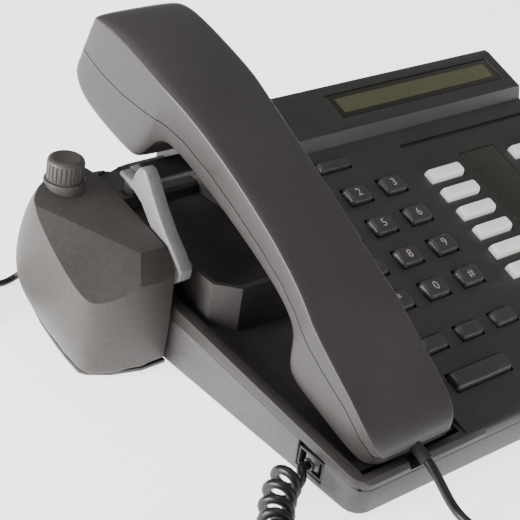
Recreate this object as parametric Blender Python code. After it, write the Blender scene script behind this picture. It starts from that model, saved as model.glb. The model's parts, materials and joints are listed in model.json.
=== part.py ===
"""Office desk telephone with a remote handset lifter standing against its left side.

The lifter's arm is up and holds the handset's ear end off the cradle. Metres, +Z up, +Y to the
back, +X to the phone's right. The origin is on the desk, under the middle of the phone and lifter.
"""
import bpy
import bmesh
import math
from mathutils import Matrix, Vector

# ---- driving dimensions, in metres ------------------------------------------------------------
GAP = 0.0003                       # clearance between two pieces that touch
PANEL_WIDTH = 0.173                # the key panel, to the right of the cradle
BASE_DEPTH = 0.208
FOOT_HEIGHT = 0.0010
FOOT_INSET = 0.0180
FOOT_WIDTH = 0.0100
WALL = 0.0022
PARTING_FRONT = 0.0120             # height of the tray's rim at the front
PARTING_SLOPE = 0.082              # rise of the tray's rim towards the back
RAIL_FRONT = 0.0163                # height of the cradle's side rail at the front
RAIL_SLOPE = 0.098
RAIL_WIDTH = 0.0050
DECK_DROP = 0.0045                 # the cradle's floor under its rail
DECK_THICK = 0.0020
CORNER = 0.0070                    # rounding of the base's upright corners
MOUTH_REST = 0.0155                # height of the bar that the mouth end stands on
FACE_ANGLE = math.radians(19.3)    # incline of the key face
FACE_FRONT = 0.0160                # height of the key face's plane at the front edge
FACE_DEPTH = 0.1700                # front edge to the top of the back wall
HANDSET_WIDTH = 0.0460
HANDSET_LEFT = 0.0083
CRADLE_WIDTH = HANDSET_LEFT + HANDSET_WIDTH + 0.0047
BASE_WIDTH = CRADLE_WIDTH + PANEL_WIDTH
DISPLAY_FRONT = 0.1415
DISPLAY_RISE = 0.0055              # the display housing stands this far above the key face
SEAT_FRONT = 0.0960                # raised seat for the handset's ear end
SEAT_LEFT = 0.0100
SEAT_TOP = 0.0365
SEAT_CHAMFER = 0.0087              # its front left corner is cut off
RIM_TOP = SEAT_TOP + 0.0050        # rim round the seat's front and left
RIM_THICK = 0.0025
RIM_BACK = 0.1480
PAD_FRONT = 0.1760                 # rear ledge that the ear end rests on when the arm is down
PAD_TOP = SEAT_TOP + 0.0050

KEY_FIT = 0.0005                   # gap all round a key in its opening
KEY_TRAVEL = 0.0015
KEY_UNDER = 0.0040                 # how far a key's body reaches under the key face
DIAL_KEY = (0.0130, 0.0095, 0.0024)
DIAL_PITCH = (0.0215, 0.0185)
DIAL_FIRST = (CRADLE_WIDTH + 0.0160, 0.1215)      # centre of the first dial key: across, and up the slope
LINE_KEY = (0.0215, 0.0068, 0.0030)
LINE_PITCH = 0.01175
LINE_FIRST = (DIAL_FIRST[0] + 0.0755, 0.1197)
LINE_COLUMN_STEP = 0.0575
LINE_ROWS = 6
FUNCTION_KEY = (0.0130, 0.0075, 0.0022)
FUNCTION_ROW = 0.0425
ROCKER_KEY = (0.0330, 0.0085, 0.0026)
ROCKER_ROW = 0.0235
MESSAGE_KEY = (0.0180, 0.0060, 0.0022)
MESSAGE_ROW = 0.1400
WINDOW = (0.1100, 0.0150, 0.0020)  # display window: across, up the slope, thickness
WINDOW_LEFT = CRADLE_WIDTH + 0.0570
STATUS = (0.0240, 0.0560, 0.0016)  # status display between the two columns of line keys
STATUS_CENTRE = (LINE_FIRST[0] + 0.0290, 0.1000)

HANDSET_WALL = 0.0022
HANDSET_TILT = math.radians(20.4)  # of the handset's resting line, with the arm up
HANDSET_DROP = math.radians(10.7)  # how far the handset turns down on to its cradle
MOUTH_PIVOT = (0.0120, 0.0160)     # y, z of the lower front edge of the mouth end
PLUNGER = (0.0120, 0.0080)
PLUNGER_PLACE = (HANDSET_LEFT + HANDSET_WIDTH / 2, 0.1840)
PLUNGER_TAIL = 0.0120              # how far it hangs under the seat
PLUNGER_STAND = 0.0075             # how far it stands out of the seat

LIFTER_GAP = 0.0008                # between the lifter and the phone's side
LIFTER_BASE = 0.0020
LIFTER_WALL = 0.0022
ARM_PIVOT = (0.1200, 0.0420)       # y, z
ARM_HUB = 0.0060
ARM_LEFT = 0.0004
ARM_THICK = 0.0070
PIN_RADIUS = 0.0020
PIN_FIT = 0.0002
PLATE_FRONT = (0.1490, 0.0662)     # y, z of the lift plate's front top edge, with the arm up
PLATE_BACK = 0.1610
PLATE_SLOPE = math.radians(13.0)
PLATE_THICK = 0.0020
TAB_HEIGHT = 0.0065                # upright end of the lever, beside the plate
TAB_TAIL = 0.0030
PAD_THICK = 0.0012                 # soft pad on the plate
BLADE_TOP = (0.1475, 0.0755)       # y, z of the lever's upper end, beside the handset
PLATE_REACH = 0.0360               # how far the lift plate reaches under the handset
DIAL_RADIUS = 0.0092
DIAL_HEIGHT = 0.0100
DIAL_PLACE = (-0.0195, 0.1700)
DIAL_BOTTOM = 0.0668
LEAD_EXIT = (-0.0200, 0.1850, 0.0065)

COIL_OUTER = 0.0145                # the curly cord, over its turns
LEAD = 0.0040
LIFTER_LEAD = 0.0030
LIFTER_COIL_RADIUS = 0.0165        # middle of the turns of the put-away lead
LIFTER_COIL_TURNS_ACROSS = 2
LIFTER_COIL_CENTRE = (-0.0560, 0.1930)
SOCKET = (0.0120, 0.0100, 0.0066)  # modular jack opening: across, deep, high
SOCKET_WALL = 0.0010
JACK_SET_IN = 0.3                  # share of the wall that a jack's mouth is set in by
HANDSET_JACK = (0.0, 0.0270, FOOT_HEIGHT + WALL + GAP + SOCKET_WALL + SOCKET[2] / 2)
LINE_JACK = (CRADLE_WIDTH + 0.1110, BASE_DEPTH, 0.0120)

# middle of the phone and lifter on the desk
LIFTER_REACH = 0.0432
CENTRE = Vector(((BASE_WIDTH - LIFTER_REACH) / 2, BASE_DEPTH / 2, 0.0))

SIN_F = math.sin(FACE_ANGLE)
COS_F = math.cos(FACE_ANGLE)
WINDOW_TOP = DISPLAY_RISE * COS_F - 0.0003     # out of the key face's plane


# ---- shared helpers ---------------------------------------------------------------------------
def material(name, colour, roughness, metallic=0.0):
    """A Principled material; colour is an sRGB hex value."""
    made = bpy.data.materials.new(name)
    made.use_nodes = True
    shader = made.node_tree.nodes["Principled BSDF"]
    linear = [(int(colour[i:i + 2], 16) / 255) ** 2.2 for i in (1, 3, 5)]
    shader.inputs["Base Color"].default_value = (*linear, 1.0)
    shader.inputs["Roughness"].default_value = roughness
    shader.inputs["Metallic"].default_value = metallic
    return made


def clear_scene():
    for old in list(bpy.data.objects):
        bpy.data.objects.remove(old, do_unlink=True)


def empty(name, parent=None, location=(0, 0, 0), rotation=(0, 0, 0)):
    made = bpy.data.objects.new(name, None)
    bpy.context.scene.collection.objects.link(made)
    made.parent = parent
    made.location = location
    made.rotation_euler = rotation
    return made


def finish(name, shape, finish_material, parent, smooth=False):
    """Turns a bmesh into a named object with outward faces."""
    bmesh.ops.recalc_face_normals(shape, faces=shape.faces)
    mesh = bpy.data.meshes.new(name)
    shape.to_mesh(mesh)
    shape.free()
    made = bpy.data.objects.new(name, mesh)
    bpy.context.scene.collection.objects.link(made)
    made.parent = parent
    if finish_material:
        mesh.materials.append(finish_material)
    if smooth:
        mesh.shade_smooth()
        mesh.set_sharp_from_angle(angle=math.radians(35))
    return made


def add_box(shape, low, high, bevel=0.0, segments=1):
    """Adds a closed box, given two corners, to a bmesh."""
    made = bmesh.ops.create_cube(shape, size=1.0)["verts"]
    for vert in made:
        vert.co = Vector([low[i] + (vert.co[i] + 0.5) * (high[i] - low[i]) for i in range(3)])
    if bevel:
        edges = list({edge for vert in made for edge in vert.link_edges})
        bmesh.ops.bevel(shape, geom=edges, offset=bevel, segments=segments, affect="EDGES", profile=0.5)


def add_prism(shape, outline, low, high, axis=0):
    """Adds an outline of (a, b) points extruded from low to high along an axis."""
    def place(point, along):
        values = list(point)
        values.insert(axis, along)
        return values
    near = [shape.verts.new(place(point, low)) for point in outline]
    far = [shape.verts.new(place(point, high)) for point in outline]
    shape.faces.new(near)
    shape.faces.new(far[::-1])
    count = len(outline)
    for i in range(count):
        j = (i + 1) % count
        shape.faces.new((near[j], near[i], far[i], far[j]))


def add_turned(shape, profile, centre, axis=2, steps=24):
    """Adds a closed solid turned from (radius, along) points; the first and last lie on the axis."""
    rings = []
    for radius, along in profile:
        ring = []
        for step in range(1 if radius == 0 else steps):
            angle = 2 * math.pi * step / steps
            point = [radius * math.cos(angle), radius * math.sin(angle)]
            point.insert(axis, along)
            ring.append(shape.verts.new(Vector(centre) + Vector(point)))
        rings.append(ring)
    for lower, upper in zip(rings, rings[1:]):
        for step in range(steps):
            after = (step + 1) % steps
            corners = [lower[step % len(lower)], lower[after % len(lower)],
                       upper[after % len(upper)], upper[step % len(upper)]]
            unique = list(dict.fromkeys(corners))
            if len(unique) > 2:
                shape.faces.new(unique)


def add_rod(shape, radius, low, high, centre, axis, steps):
    add_turned(shape, [(0, low), (radius, low), (radius, high), (0, high)], centre, axis, steps)


def add_loft(shape, rings):
    """Joins rings of points, all of one length, into a closed solid with flat ends."""
    made = [[shape.verts.new(point) for point in ring] for ring in rings]
    for first, second in zip(made, made[1:]):
        count = len(first)
        for i in range(count):
            j = (i + 1) % count
            shape.faces.new((first[i], first[j], second[j], second[i]))
    shape.faces.new(made[0][::-1])
    shape.faces.new(made[-1])


def box(name, low, high, finish_material, parent, bevel=0.0, segments=1):
    shape = bmesh.new()
    add_box(shape, low, high, bevel, segments)
    return finish(name, shape, finish_material, parent)


def cut(target, name, shape):
    """Cuts a bmesh, in the target's frame, from the target."""
    cutter = finish(name, shape, None, target.parent)
    cutter.hide_render = True
    cutter.display_type = "WIRE"
    modifier = target.modifiers.new(name, "BOOLEAN")
    modifier.operation = "DIFFERENCE"
    modifier.solver = "EXACT"
    modifier.object = cutter


def face_height(y):
    """Height of the key face's plane at a distance from the front edge."""
    return FACE_FRONT + y * math.tan(FACE_ANGLE)


def rail_height(y):
    return RAIL_FRONT + RAIL_SLOPE * y


def parting_height(y):
    return PARTING_FRONT + PARTING_SLOPE * y


# ---- phone base -------------------------------------------------------------------------------
def base_tray(origin, plastic):
    """Open tray: floor and low walls up to the sloping rim."""
    shape = bmesh.new()
    outline = [(0, FOOT_HEIGHT), (0, parting_height(0)), (BASE_DEPTH, parting_height(BASE_DEPTH)),
               (BASE_DEPTH, FOOT_HEIGHT)]
    add_prism(shape, outline, 0, BASE_WIDTH)
    uprights = [edge for edge in shape.edges
                if abs(edge.verts[0].co.x - edge.verts[1].co.x) < 1e-6
                and abs(edge.verts[0].co.y - edge.verts[1].co.y) < 1e-6]
    bmesh.ops.bevel(shape, geom=uprights, offset=CORNER, segments=4, affect="EDGES", profile=0.5)
    tray = finish("base_tray", shape, plastic, origin)
    inside = bmesh.new()
    add_box(inside, (WALL, WALL, FOOT_HEIGHT + WALL), (BASE_WIDTH - WALL, BASE_DEPTH - WALL, 0.1))
    cut(tray, "tray_hollow", inside)
    _, y, z = HANDSET_JACK
    half = SOCKET[0] / 2 + SOCKET_WALL + GAP
    port = bmesh.new()
    add_box(port, (-0.01, y - half, FOOT_HEIGHT + WALL), (WALL + 0.001, y + half, 0.1))
    cut(tray, "tray_jack_port", port)
    x, _, z = LINE_JACK
    high = SOCKET[2] / 2 + SOCKET_WALL + GAP
    port = bmesh.new()
    add_box(port, (x - half, BASE_DEPTH - WALL - 0.001, z - high), (x + half, BASE_DEPTH + 0.01, z + high))
    cut(tray, "tray_line_port", port)


def panel_outline():
    """Side outline of the key panel and display housing, from the front rim round to the back rim."""
    step = 0.0016
    top = DISPLAY_RISE
    return [(0, parting_height(0) + GAP), (0, FACE_FRONT - 0.0030), (0.0010, face_height(0.0010) - 0.0009),
            (0.0030, face_height(0.0030)), (DISPLAY_FRONT, face_height(DISPLAY_FRONT)),
            (DISPLAY_FRONT + step, face_height(DISPLAY_FRONT + step) + top),
            (FACE_DEPTH - 0.0035, face_height(FACE_DEPTH - 0.0035) + top),
            (FACE_DEPTH - 0.0008, face_height(FACE_DEPTH - 0.0035) + top + 0.0002),
            (FACE_DEPTH + 0.0012, face_height(FACE_DEPTH - 0.0035) + top - 0.0022),
            (BASE_DEPTH - 0.0010, 0.0500), (BASE_DEPTH, 0.0470),
            (BASE_DEPTH, parting_height(BASE_DEPTH) + GAP)]


def cradle_outline():
    """Side outline of the cradle's own block, up to the rail's top."""
    return [(0, parting_height(0) + GAP), (0, RAIL_FRONT - 0.0020), (0.0015, RAIL_FRONT),
            (BASE_DEPTH - 0.0020, rail_height(BASE_DEPTH)),
            (BASE_DEPTH, rail_height(BASE_DEPTH) - 0.0020), (BASE_DEPTH, parting_height(BASE_DEPTH) + GAP)]


def inset_outline(depth_in, drop):
    """Outline of the cover's hollow under the key panel."""
    low = 0.0
    return [(WALL, low), (WALL, face_height(WALL) - drop), (DISPLAY_FRONT, face_height(DISPLAY_FRONT) - drop),
            (FACE_DEPTH - depth_in, face_height(FACE_DEPTH - depth_in) - drop + DISPLAY_RISE),
            (BASE_DEPTH - depth_in, 0.0480 - drop), (BASE_DEPTH - depth_in, low)]


def deck_height(y):
    return rail_height(y) - DECK_DROP


def seat_plan(inset=0.0):
    """Front and left edges of the ear seat, seen from above, from its back left corner."""
    left, front = SEAT_LEFT + inset, SEAT_FRONT + inset
    corner = SEAT_CHAMFER - inset * 0.6
    return [(left, front + corner), (left + corner, front)]


def base_cover(origin, plastic):
    """Upper shell: cradle with rail and raised ear seat on the left, key panel on the right."""
    shape = bmesh.new()
    add_prism(shape, cradle_outline(), 0, CRADLE_WIDTH + 0.010)
    cover = finish("base_cover", shape, plastic, origin)
    panel = bmesh.new()
    add_prism(panel, panel_outline(), CRADLE_WIDTH, BASE_WIDTH)
    join(cover, "panel_block", panel)
    tub = bmesh.new()
    low, high = WALL + GAP, BASE_DEPTH - WALL - GAP
    add_prism(tub, [(low, deck_height(low) - DECK_THICK), (low, parting_height(low) + 0.002),
                    (high, parting_height(high) + 0.002), (high, deck_height(high) - DECK_THICK)],
              low, CRADLE_WIDTH + 0.010)
    join(cover, "cradle_tub", tub)
    deck = bmesh.new()
    front, back = 0.0045, BASE_DEPTH - 0.0120
    add_prism(deck, [(front, 0.1), (front, deck_height(front) + 0.002), (front + 0.002, deck_height(front)),
                     (back, deck_height(back)), (back, 0.1)], RAIL_WIDTH, CRADLE_WIDTH - 0.0015)
    cut(cover, "cradle_deck", deck)
    cradle_seat(cover)
    cradle_cuts(cover)

    hollow = bmesh.new()
    add_prism(hollow, inset_outline(WALL + 0.001, 0.0026), CRADLE_WIDTH + WALL, BASE_WIDTH - WALL)
    cut(cover, "panel_hollow", hollow)
    hollow = bmesh.new()
    add_box(hollow, (SEAT_LEFT + 0.0040, SEAT_FRONT + 0.0080, 0.0150),
            (CRADLE_WIDTH + WALL + 0.001, BASE_DEPTH - 0.0040, SEAT_TOP - 0.0030))
    cut(cover, "seat_hollow", hollow)

    openings = bmesh.new()
    for centre, size in key_places():
        add_box(openings, (centre[0] - size[0] / 2 - KEY_FIT, centre[1] - size[1] / 2 - KEY_FIT, -0.0120),
                (centre[0] + size[0] / 2 + KEY_FIT, centre[1] + size[1] / 2 + KEY_FIT, 0.0120))
    openings.transform(face_matrix())
    cut(cover, "key_openings", openings)
    for name, low, high in window_recesses():
        recess = bmesh.new()
        add_box(recess, low, high)
        recess.transform(face_matrix())
        cut(cover, name, recess)
    corners = bmesh.new()
    for right in (False, True):
        for back in (False, True):
            add_corner(corners, right, back)
    cut(cover, "round_corners", corners)


def cradle_seat(cover):
    """Joins the ear seat with its rim and ledge, and the bar that the mouth end stands on."""
    right = CRADLE_WIDTH + 0.004
    seat = bmesh.new()
    back = BASE_DEPTH - 0.0040
    add_prism(seat, [(SEAT_LEFT, back)] + seat_plan() + [(right, SEAT_FRONT), (right, back)],
              0.0200, SEAT_TOP, axis=2)
    join(cover, "seat_block", seat)
    rim = bmesh.new()
    inner = seat_plan(RIM_THICK)
    add_prism(rim, [(SEAT_LEFT, RIM_BACK)] + seat_plan()
              + [(CRADLE_WIDTH, SEAT_FRONT), (CRADLE_WIDTH, SEAT_FRONT + RIM_THICK)] + inner[::-1]
              + [(SEAT_LEFT + RIM_THICK, RIM_BACK)], SEAT_TOP - 0.001, RIM_TOP, axis=2)
    join(cover, "seat_rim", rim)
    pad = bmesh.new()
    add_box(pad, (SEAT_LEFT + 0.001, PAD_FRONT, SEAT_TOP - 0.003),
            (right - 0.001, BASE_DEPTH - WALL - GAP, PAD_TOP), 0.0015)
    join(cover, "pad_block", pad)
    bar = bmesh.new()
    add_box(bar, (RAIL_WIDTH - 0.001, 0.0080, deck_height(0.008) - 0.001),
            (CRADLE_WIDTH, 0.0135, MOUTH_REST), 0.0004)
    join(cover, "mouth_rest", bar)


def cradle_cuts(cover):
    """Notch for the handset's cord, cup under the ear end, plunger opening, port of the side jack."""
    middle = HANDSET_LEFT + HANDSET_WIDTH / 2
    notch = bmesh.new()
    add_box(notch, (middle - 0.005, -0.01, RAIL_FRONT - 0.0030), (middle + 0.005, 0.0060, 0.05))
    cut(cover, "cord_notch", notch)
    cup = bmesh.new()
    add_turned(cup, [(0, -0.0030), (0.0140, -0.0030), (0.0170, 0.0050), (0, 0.0050)],
               (middle, PAD_FRONT + 0.0155, PAD_TOP), steps=28)
    cut(cover, "ear_cup", cup)
    hole = bmesh.new()
    x, y = PLUNGER_PLACE
    half_x, half_y = PLUNGER[0] / 2 + KEY_FIT, PLUNGER[1] / 2 + KEY_FIT
    add_box(hole, (x - half_x, y - half_y, 0.020), (x + half_x, y + half_y, 0.060))
    cut(cover, "plunger_opening", hole)
    port = bmesh.new()
    half, high = SOCKET[0] / 2 + SOCKET_WALL + GAP, SOCKET[2] / 2 + SOCKET_WALL + GAP
    _, y, z = HANDSET_JACK
    deep = WALL * JACK_SET_IN + SOCKET[1] + SOCKET_WALL + GAP
    add_box(port, (-0.01, y - half, -0.01), (deep, y + half, z + high))
    cut(cover, "cover_jack_port", port)


def add_corner(shape, right, back):
    """Adds what a rounded upright corner takes away: a square less a quarter circle."""
    steps = 5
    x_side, y_side = (BASE_WIDTH if right else 0.0), (BASE_DEPTH if back else 0.0)
    x_in, y_in = (-1 if right else 1), (-1 if back else 1)
    outline = [(x_side - x_in * 0.002, y_side - y_in * 0.002)]
    outline.append((x_side - x_in * 0.002, y_side + y_in * CORNER))
    for i in range(steps + 1):
        angle = math.pi / 2 * i / steps
        outline.append((x_side + x_in * CORNER * (1 - math.cos(angle)),
                        y_side + y_in * CORNER * (1 - math.sin(angle))))
    outline.append((x_side + x_in * CORNER, y_side - y_in * 0.002))
    add_prism(shape, outline, -0.01, 0.12, axis=2)


def join(target, name, shape):
    """Joins a bmesh, in the target's frame, to the target."""
    other = finish(name, shape, None, target.parent)
    other.hide_render = True
    other.display_type = "WIRE"
    modifier = target.modifiers.new(name, "BOOLEAN")
    modifier.operation = "UNION"
    modifier.solver = "EXACT"
    modifier.object = other


def face_matrix():
    """From the key face's frame (across, up the slope, out of the face) to the phone's."""
    return Matrix.Translation((0, 0, FACE_FRONT)) @ Matrix.Rotation(FACE_ANGLE, 4, "X")


def window_recesses():
    """Two steps of the display's opening and the status display's pocket, in the key face's frame."""
    low = window_low()
    x, s = STATUS_CENTRE
    return (("window_seat", (low[0], low[1], WINDOW_TOP - WINDOW[2] - GAP),
             (low[0] + WINDOW[0], low[1] + WINDOW[1], WINDOW_TOP + 0.010)),
            ("window_opening", (low[0] + 0.004, low[1] + 0.0025, -0.005),
             (low[0] + WINDOW[0] - 0.004, low[1] + WINDOW[1] - 0.0025, WINDOW_TOP + 0.009)),
            ("status_seat", (x - STATUS[0] / 2, s - STATUS[1] / 2, -STATUS[2] - GAP),
             (x + STATUS[0] / 2, s + STATUS[1] / 2, 0.010)))


def window_low():
    """Lower left corner of the display window: across, and up the slope."""
    middle = (DISPLAY_FRONT + 0.0016 + FACE_DEPTH) / 2 / COS_F + DISPLAY_RISE * SIN_F
    return (WINDOW_LEFT, middle - WINDOW[1] / 2)


def dial_places():
    return [(DIAL_FIRST[0] + column * DIAL_PITCH[0], DIAL_FIRST[1] - row * DIAL_PITCH[1])
            for row in range(4) for column in range(3)]


def line_places():
    return [(LINE_FIRST[0] + column * LINE_COLUMN_STEP, LINE_FIRST[1] - row * LINE_PITCH)
            for column in range(2) for row in range(LINE_ROWS)]


def function_places():
    return [(DIAL_FIRST[0] + column * DIAL_PITCH[0], FUNCTION_ROW) for column in range(3)]


def rocker_place():
    return (DIAL_FIRST[0] + 0.5 * DIAL_PITCH[0], ROCKER_ROW)


def message_place():
    return (DIAL_FIRST[0] + DIAL_PITCH[0], MESSAGE_ROW)


def key_places():
    """Every opening in the key face, with the size of the key in it."""
    places = [(place, DIAL_KEY) for place in dial_places()]
    places += [(place, LINE_KEY) for place in line_places()]
    places += [(place, FUNCTION_KEY) for place in function_places()]
    places += [(rocker_place(), ROCKER_KEY), (message_place(), MESSAGE_KEY)]
    return places


def key(name, face, place, size, finish_material):
    """A key with a slightly smaller, rounded top, standing out of the key face."""
    shape = bmesh.new()
    half_x, half_y, top = size[0] / 2, size[1] / 2, size[2]
    def ring(shrink, height):
        x, y = half_x - shrink, half_y - shrink
        trim = min(x, y) * 0.30
        quarter = [(x - trim, y), (x, y - trim)]
        outline = ([(a, -b) for a, b in quarter] + [(a, b) for a, b in quarter[::-1]]
                   + [(-a, b) for a, b in quarter] + [(-a, -b) for a, b in quarter[::-1]])
        return [(a, b, height) for a, b in outline]
    add_loft(shape, [ring(0, -KEY_UNDER), ring(0, 0.0002), ring(0.0004, top * 0.7), ring(0.0013, top)])
    made = finish(name, shape, finish_material, face)
    made.location = (place[0], place[1], 0)
    return made


def keys(face, dark, white):
    symbols = ("1", "2", "3", "4", "5", "6", "7", "8", "9", "star", "0", "hash")
    for symbol, place in zip(symbols, dial_places()):
        key("dial_key_" + symbol, face, place, DIAL_KEY, dark)
    for number, place in enumerate(line_places(), 1):
        key("line_key_%02d" % number, face, place, LINE_KEY, white)
    for name, place in zip(("hold_key", "transfer_key", "speaker_key"), function_places()):
        key(name, face, place, FUNCTION_KEY, dark)
    key("volume_key", face, rocker_place(), ROCKER_KEY, dark)
    key("message_key", face, message_place(), MESSAGE_KEY, dark)


def displays(face, window, status):
    low = window_low()
    box("display_window", (low[0] + GAP, low[1] + GAP, WINDOW_TOP - WINDOW[2]),
        (low[0] + WINDOW[0] - GAP, low[1] + WINDOW[1] - GAP, WINDOW_TOP), window, face, 0.0003)
    x, s = STATUS_CENTRE
    box("status_window", (x - STATUS[0] / 2 + GAP, s - STATUS[1] / 2 + GAP, -STATUS[2]),
        (x + STATUS[0] / 2 - GAP, s + STATUS[1] / 2 - GAP, 0.0002), status, face, 0.0003)


def inner_parts(origin, face, green, rubber, dark):
    """What the phone holds inside: circuit board, key mat, ringer and hook switch."""
    mat_top = -KEY_UNDER - KEY_TRAVEL - 0.0004
    box("key_mat", (CRADLE_WIDTH + 0.005, 0.0110, mat_top - 0.0012), (BASE_WIDTH - 0.006, 0.1350, mat_top),
        rubber, face)
    box("circuit_board", (CRADLE_WIDTH + 0.004, 0.0100, mat_top - 0.0030),
        (BASE_WIDTH - 0.005, 0.1400, mat_top - 0.0012 - GAP), green, face)
    shape = bmesh.new()
    floor, flare, top, radius = FOOT_HEIGHT + WALL + GAP, 0.0150, 0.0200, 0.0180
    add_turned(shape, [(0, floor), (0.0080, floor), (0.0090, flare * 0.6), (radius, flare), (radius, top),
                       (radius - 0.002, top + 0.001), (0, top - 0.004)], (BASE_WIDTH - 0.0420, 0.1650, 0), steps=24)
    finish("ringer_speaker", shape, dark, origin, True)
    x, y = PLUNGER_PLACE
    box("hook_switch", (x - 0.009, y - 0.006, 0.0120), (x + 0.009, y + 0.006, SEAT_TOP - PLUNGER_TAIL - 0.0050), dark, origin, 0.0005)


def hook_plunger(origin, plastic):
    """Sprung bar that the ear end presses down."""
    half_x, half_y = PLUNGER[0] / 2, PLUNGER[1] / 2
    made = box("hook_plunger", (-half_x, -half_y, -PLUNGER_TAIL), (half_x, half_y, PLUNGER_STAND), plastic, origin,
               0.0010, 2)
    made.location = (PLUNGER_PLACE[0], PLUNGER_PLACE[1], SEAT_TOP)


def jack_sockets(origin, plastic):
    """Modular jacks: one open to the left for the handset's cord, one open to the back."""
    wall = SOCKET_WALL
    half, deep, high = SOCKET[0] / 2, SOCKET[1], SOCKET[2] / 2
    for name, (x, y, z), axis in (("handset_jack", HANDSET_JACK, 0), ("line_jack", LINE_JACK, 1)):
        rings = []
        for size_a, size_b, along in ((half, high, deep), (half, high, 0), (half + wall, high + wall, 0),
                                      (half + wall, high + wall, deep + wall)):
            ring = []
            for a, b in ((-size_a, -size_b), (size_a, -size_b), (size_a, size_b), (-size_a, size_b)):
                inset = WALL * JACK_SET_IN + along
                ring.append((x + inset, y + a, z + b) if axis == 0 else (x + a, y - inset, z + b))
            rings.append(ring)
        shape = bmesh.new()
        add_loft(shape, rings)
        finish(name, shape, plastic, origin)


def feet(origin, rubber):
    """Two rubber strips under the tray, one near the front and one near the back."""
    for name, y in (("front_foot", FOOT_INSET), ("rear_foot", BASE_DEPTH - FOOT_INSET)):
        box(name, (FOOT_INSET, y - FOOT_WIDTH / 2, 0),
            (BASE_WIDTH - FOOT_INSET, y + FOOT_WIDTH / 2, FOOT_HEIGHT - GAP), rubber, origin, 0.0002)


# ---- handset ----------------------------------------------------------------------------------
# Stations along the resting line: distance, underside, parting line, top, and how far the side is
# in from the full half width
HANDSET_STATIONS = (
    (-0.0050, 0.0040, 0.0072, 0.0088, 0.0060), (-0.0020, 0.0012, 0.0080, 0.0120, 0.0025),
    (0.0040, 0.0000, 0.0100, 0.0150, 0.0005), (0.0120, -0.0008, 0.0125, 0.0178, 0.0000),
    (0.0300, -0.0022, 0.0150, 0.0222, 0.0000), (0.0430, -0.0028, 0.0175, 0.0258, 0.0000),
    (0.0480, 0.0030, 0.0190, 0.0272, 0.0002), (0.0510, 0.0120, 0.0198, 0.0280, 0.0008),
    (0.0570, 0.0165, 0.0212, 0.0296, 0.0017), (0.0680, 0.0186, 0.0235, 0.0322, 0.0026),
    (0.0850, 0.0200, 0.0258, 0.0354, 0.0030), (0.1040, 0.0208, 0.0275, 0.0380, 0.0030),
    (0.1230, 0.0214, 0.0286, 0.0398, 0.0027), (0.1400, 0.0216, 0.0286, 0.0410, 0.0018),
    (0.1500, 0.0206, 0.0275, 0.0414, 0.0008), (0.1545, 0.0120, 0.0262, 0.0415, 0.0004),
    (0.1575, 0.0006, 0.0250, 0.0415, 0.0001), (0.1660, -0.0022, 0.0222, 0.0413, 0.0000),
    (0.1800, -0.0040, 0.0180, 0.0406, 0.0000), (0.1930, -0.0048, 0.0160, 0.0392, 0.0000),
    (0.2000, -0.0036, 0.0154, 0.0378, 0.0002), (0.2070, 0.0002, 0.0152, 0.0352, 0.0008),
    (0.2115, 0.0052, 0.0150, 0.0312, 0.0022), (0.2135, 0.0098, 0.0150, 0.0262, 0.0050))
SHOULDER = 0.0060                  # rounding of the handset's upper edges
UNDER_EDGE = 0.0022                # rounding of its lower edges
CROWN = 0.0006                     # how far the top is higher along its middle


def arch(half, parting, extreme, rounding, crown, sign):
    """Points from one parting edge, over the shell, to the other, across the handset."""
    turn = min(rounding, (abs(extreme - parting) - crown) * 0.92, half * 0.6)
    corner = extreme - sign * (turn + crown)
    steps = 4
    left = [(-half + turn * (1 - math.cos(math.pi / 2 * i / steps)),
             corner + sign * turn * math.sin(math.pi / 2 * i / steps)) for i in range(steps + 1)]
    right = [(-across, height) for across, height in left[::-1]]
    middle = [(-half * 0.35, extreme), (half * 0.35, extreme)]
    return [(-half, parting)] + left + middle + right + [(half, parting)]


def shell_rings(upper, hollow):
    """Rings across one half of the handset: its outside, or the hollow inside its wall."""
    sign = 1 if upper else -1
    rounding, crown = (SHOULDER, CROWN) if upper else (UNDER_EDGE, 0.0)
    stations = HANDSET_STATIONS[3:-3] if hollow else HANDSET_STATIONS
    rings = []
    for u, under, parting, top, narrowing in stations:
        half = HANDSET_WIDTH / 2 - narrowing
        edge, extreme = parting + sign * GAP / 2, (top if upper else under)
        if hollow:
            edge, extreme, half = edge - sign * 0.004, extreme - sign * HANDSET_WALL, half - HANDSET_WALL
        points = arch(half, edge, extreme, rounding, crown, sign)
        rings.append([(across, u, height) for across, height in points])
    return rings


def handset_shells(pivot, plastic):
    for name, upper in (("handset_back", True), ("handset_front", False)):
        shape = bmesh.new()
        add_loft(shape, shell_rings(upper, False))
        shell = finish(name, shape, plastic, pivot, True)
        inside = bmesh.new()
        add_loft(inside, shell_rings(upper, True))
        cut(shell, name + "_hollow", inside)


def handset_inside(pivot, dark, metal):
    """Receiver, microphone and the weight that steadies the handset."""
    shape = bmesh.new()
    add_turned(shape, [(0, 0), (0.0150, 0), (0.0150, 0.0060), (0.0100, 0.0090), (0, 0.0090)],
               (0, 0.1800, 0.0004), steps=24)
    finish("receiver_capsule", shape, metal, pivot, True)
    shape = bmesh.new()
    add_turned(shape, [(0, 0), (0.0050, 0), (0.0050, 0.0050), (0, 0.0050)], (0, 0.0280, 0.0022), steps=16)
    finish("microphone_capsule", shape, metal, pivot, True)
    box("handset_weight", (-0.0120, 0.0860, 0.0285), (0.0120, 0.1340, 0.0320), dark, pivot, 0.0005)


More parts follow.
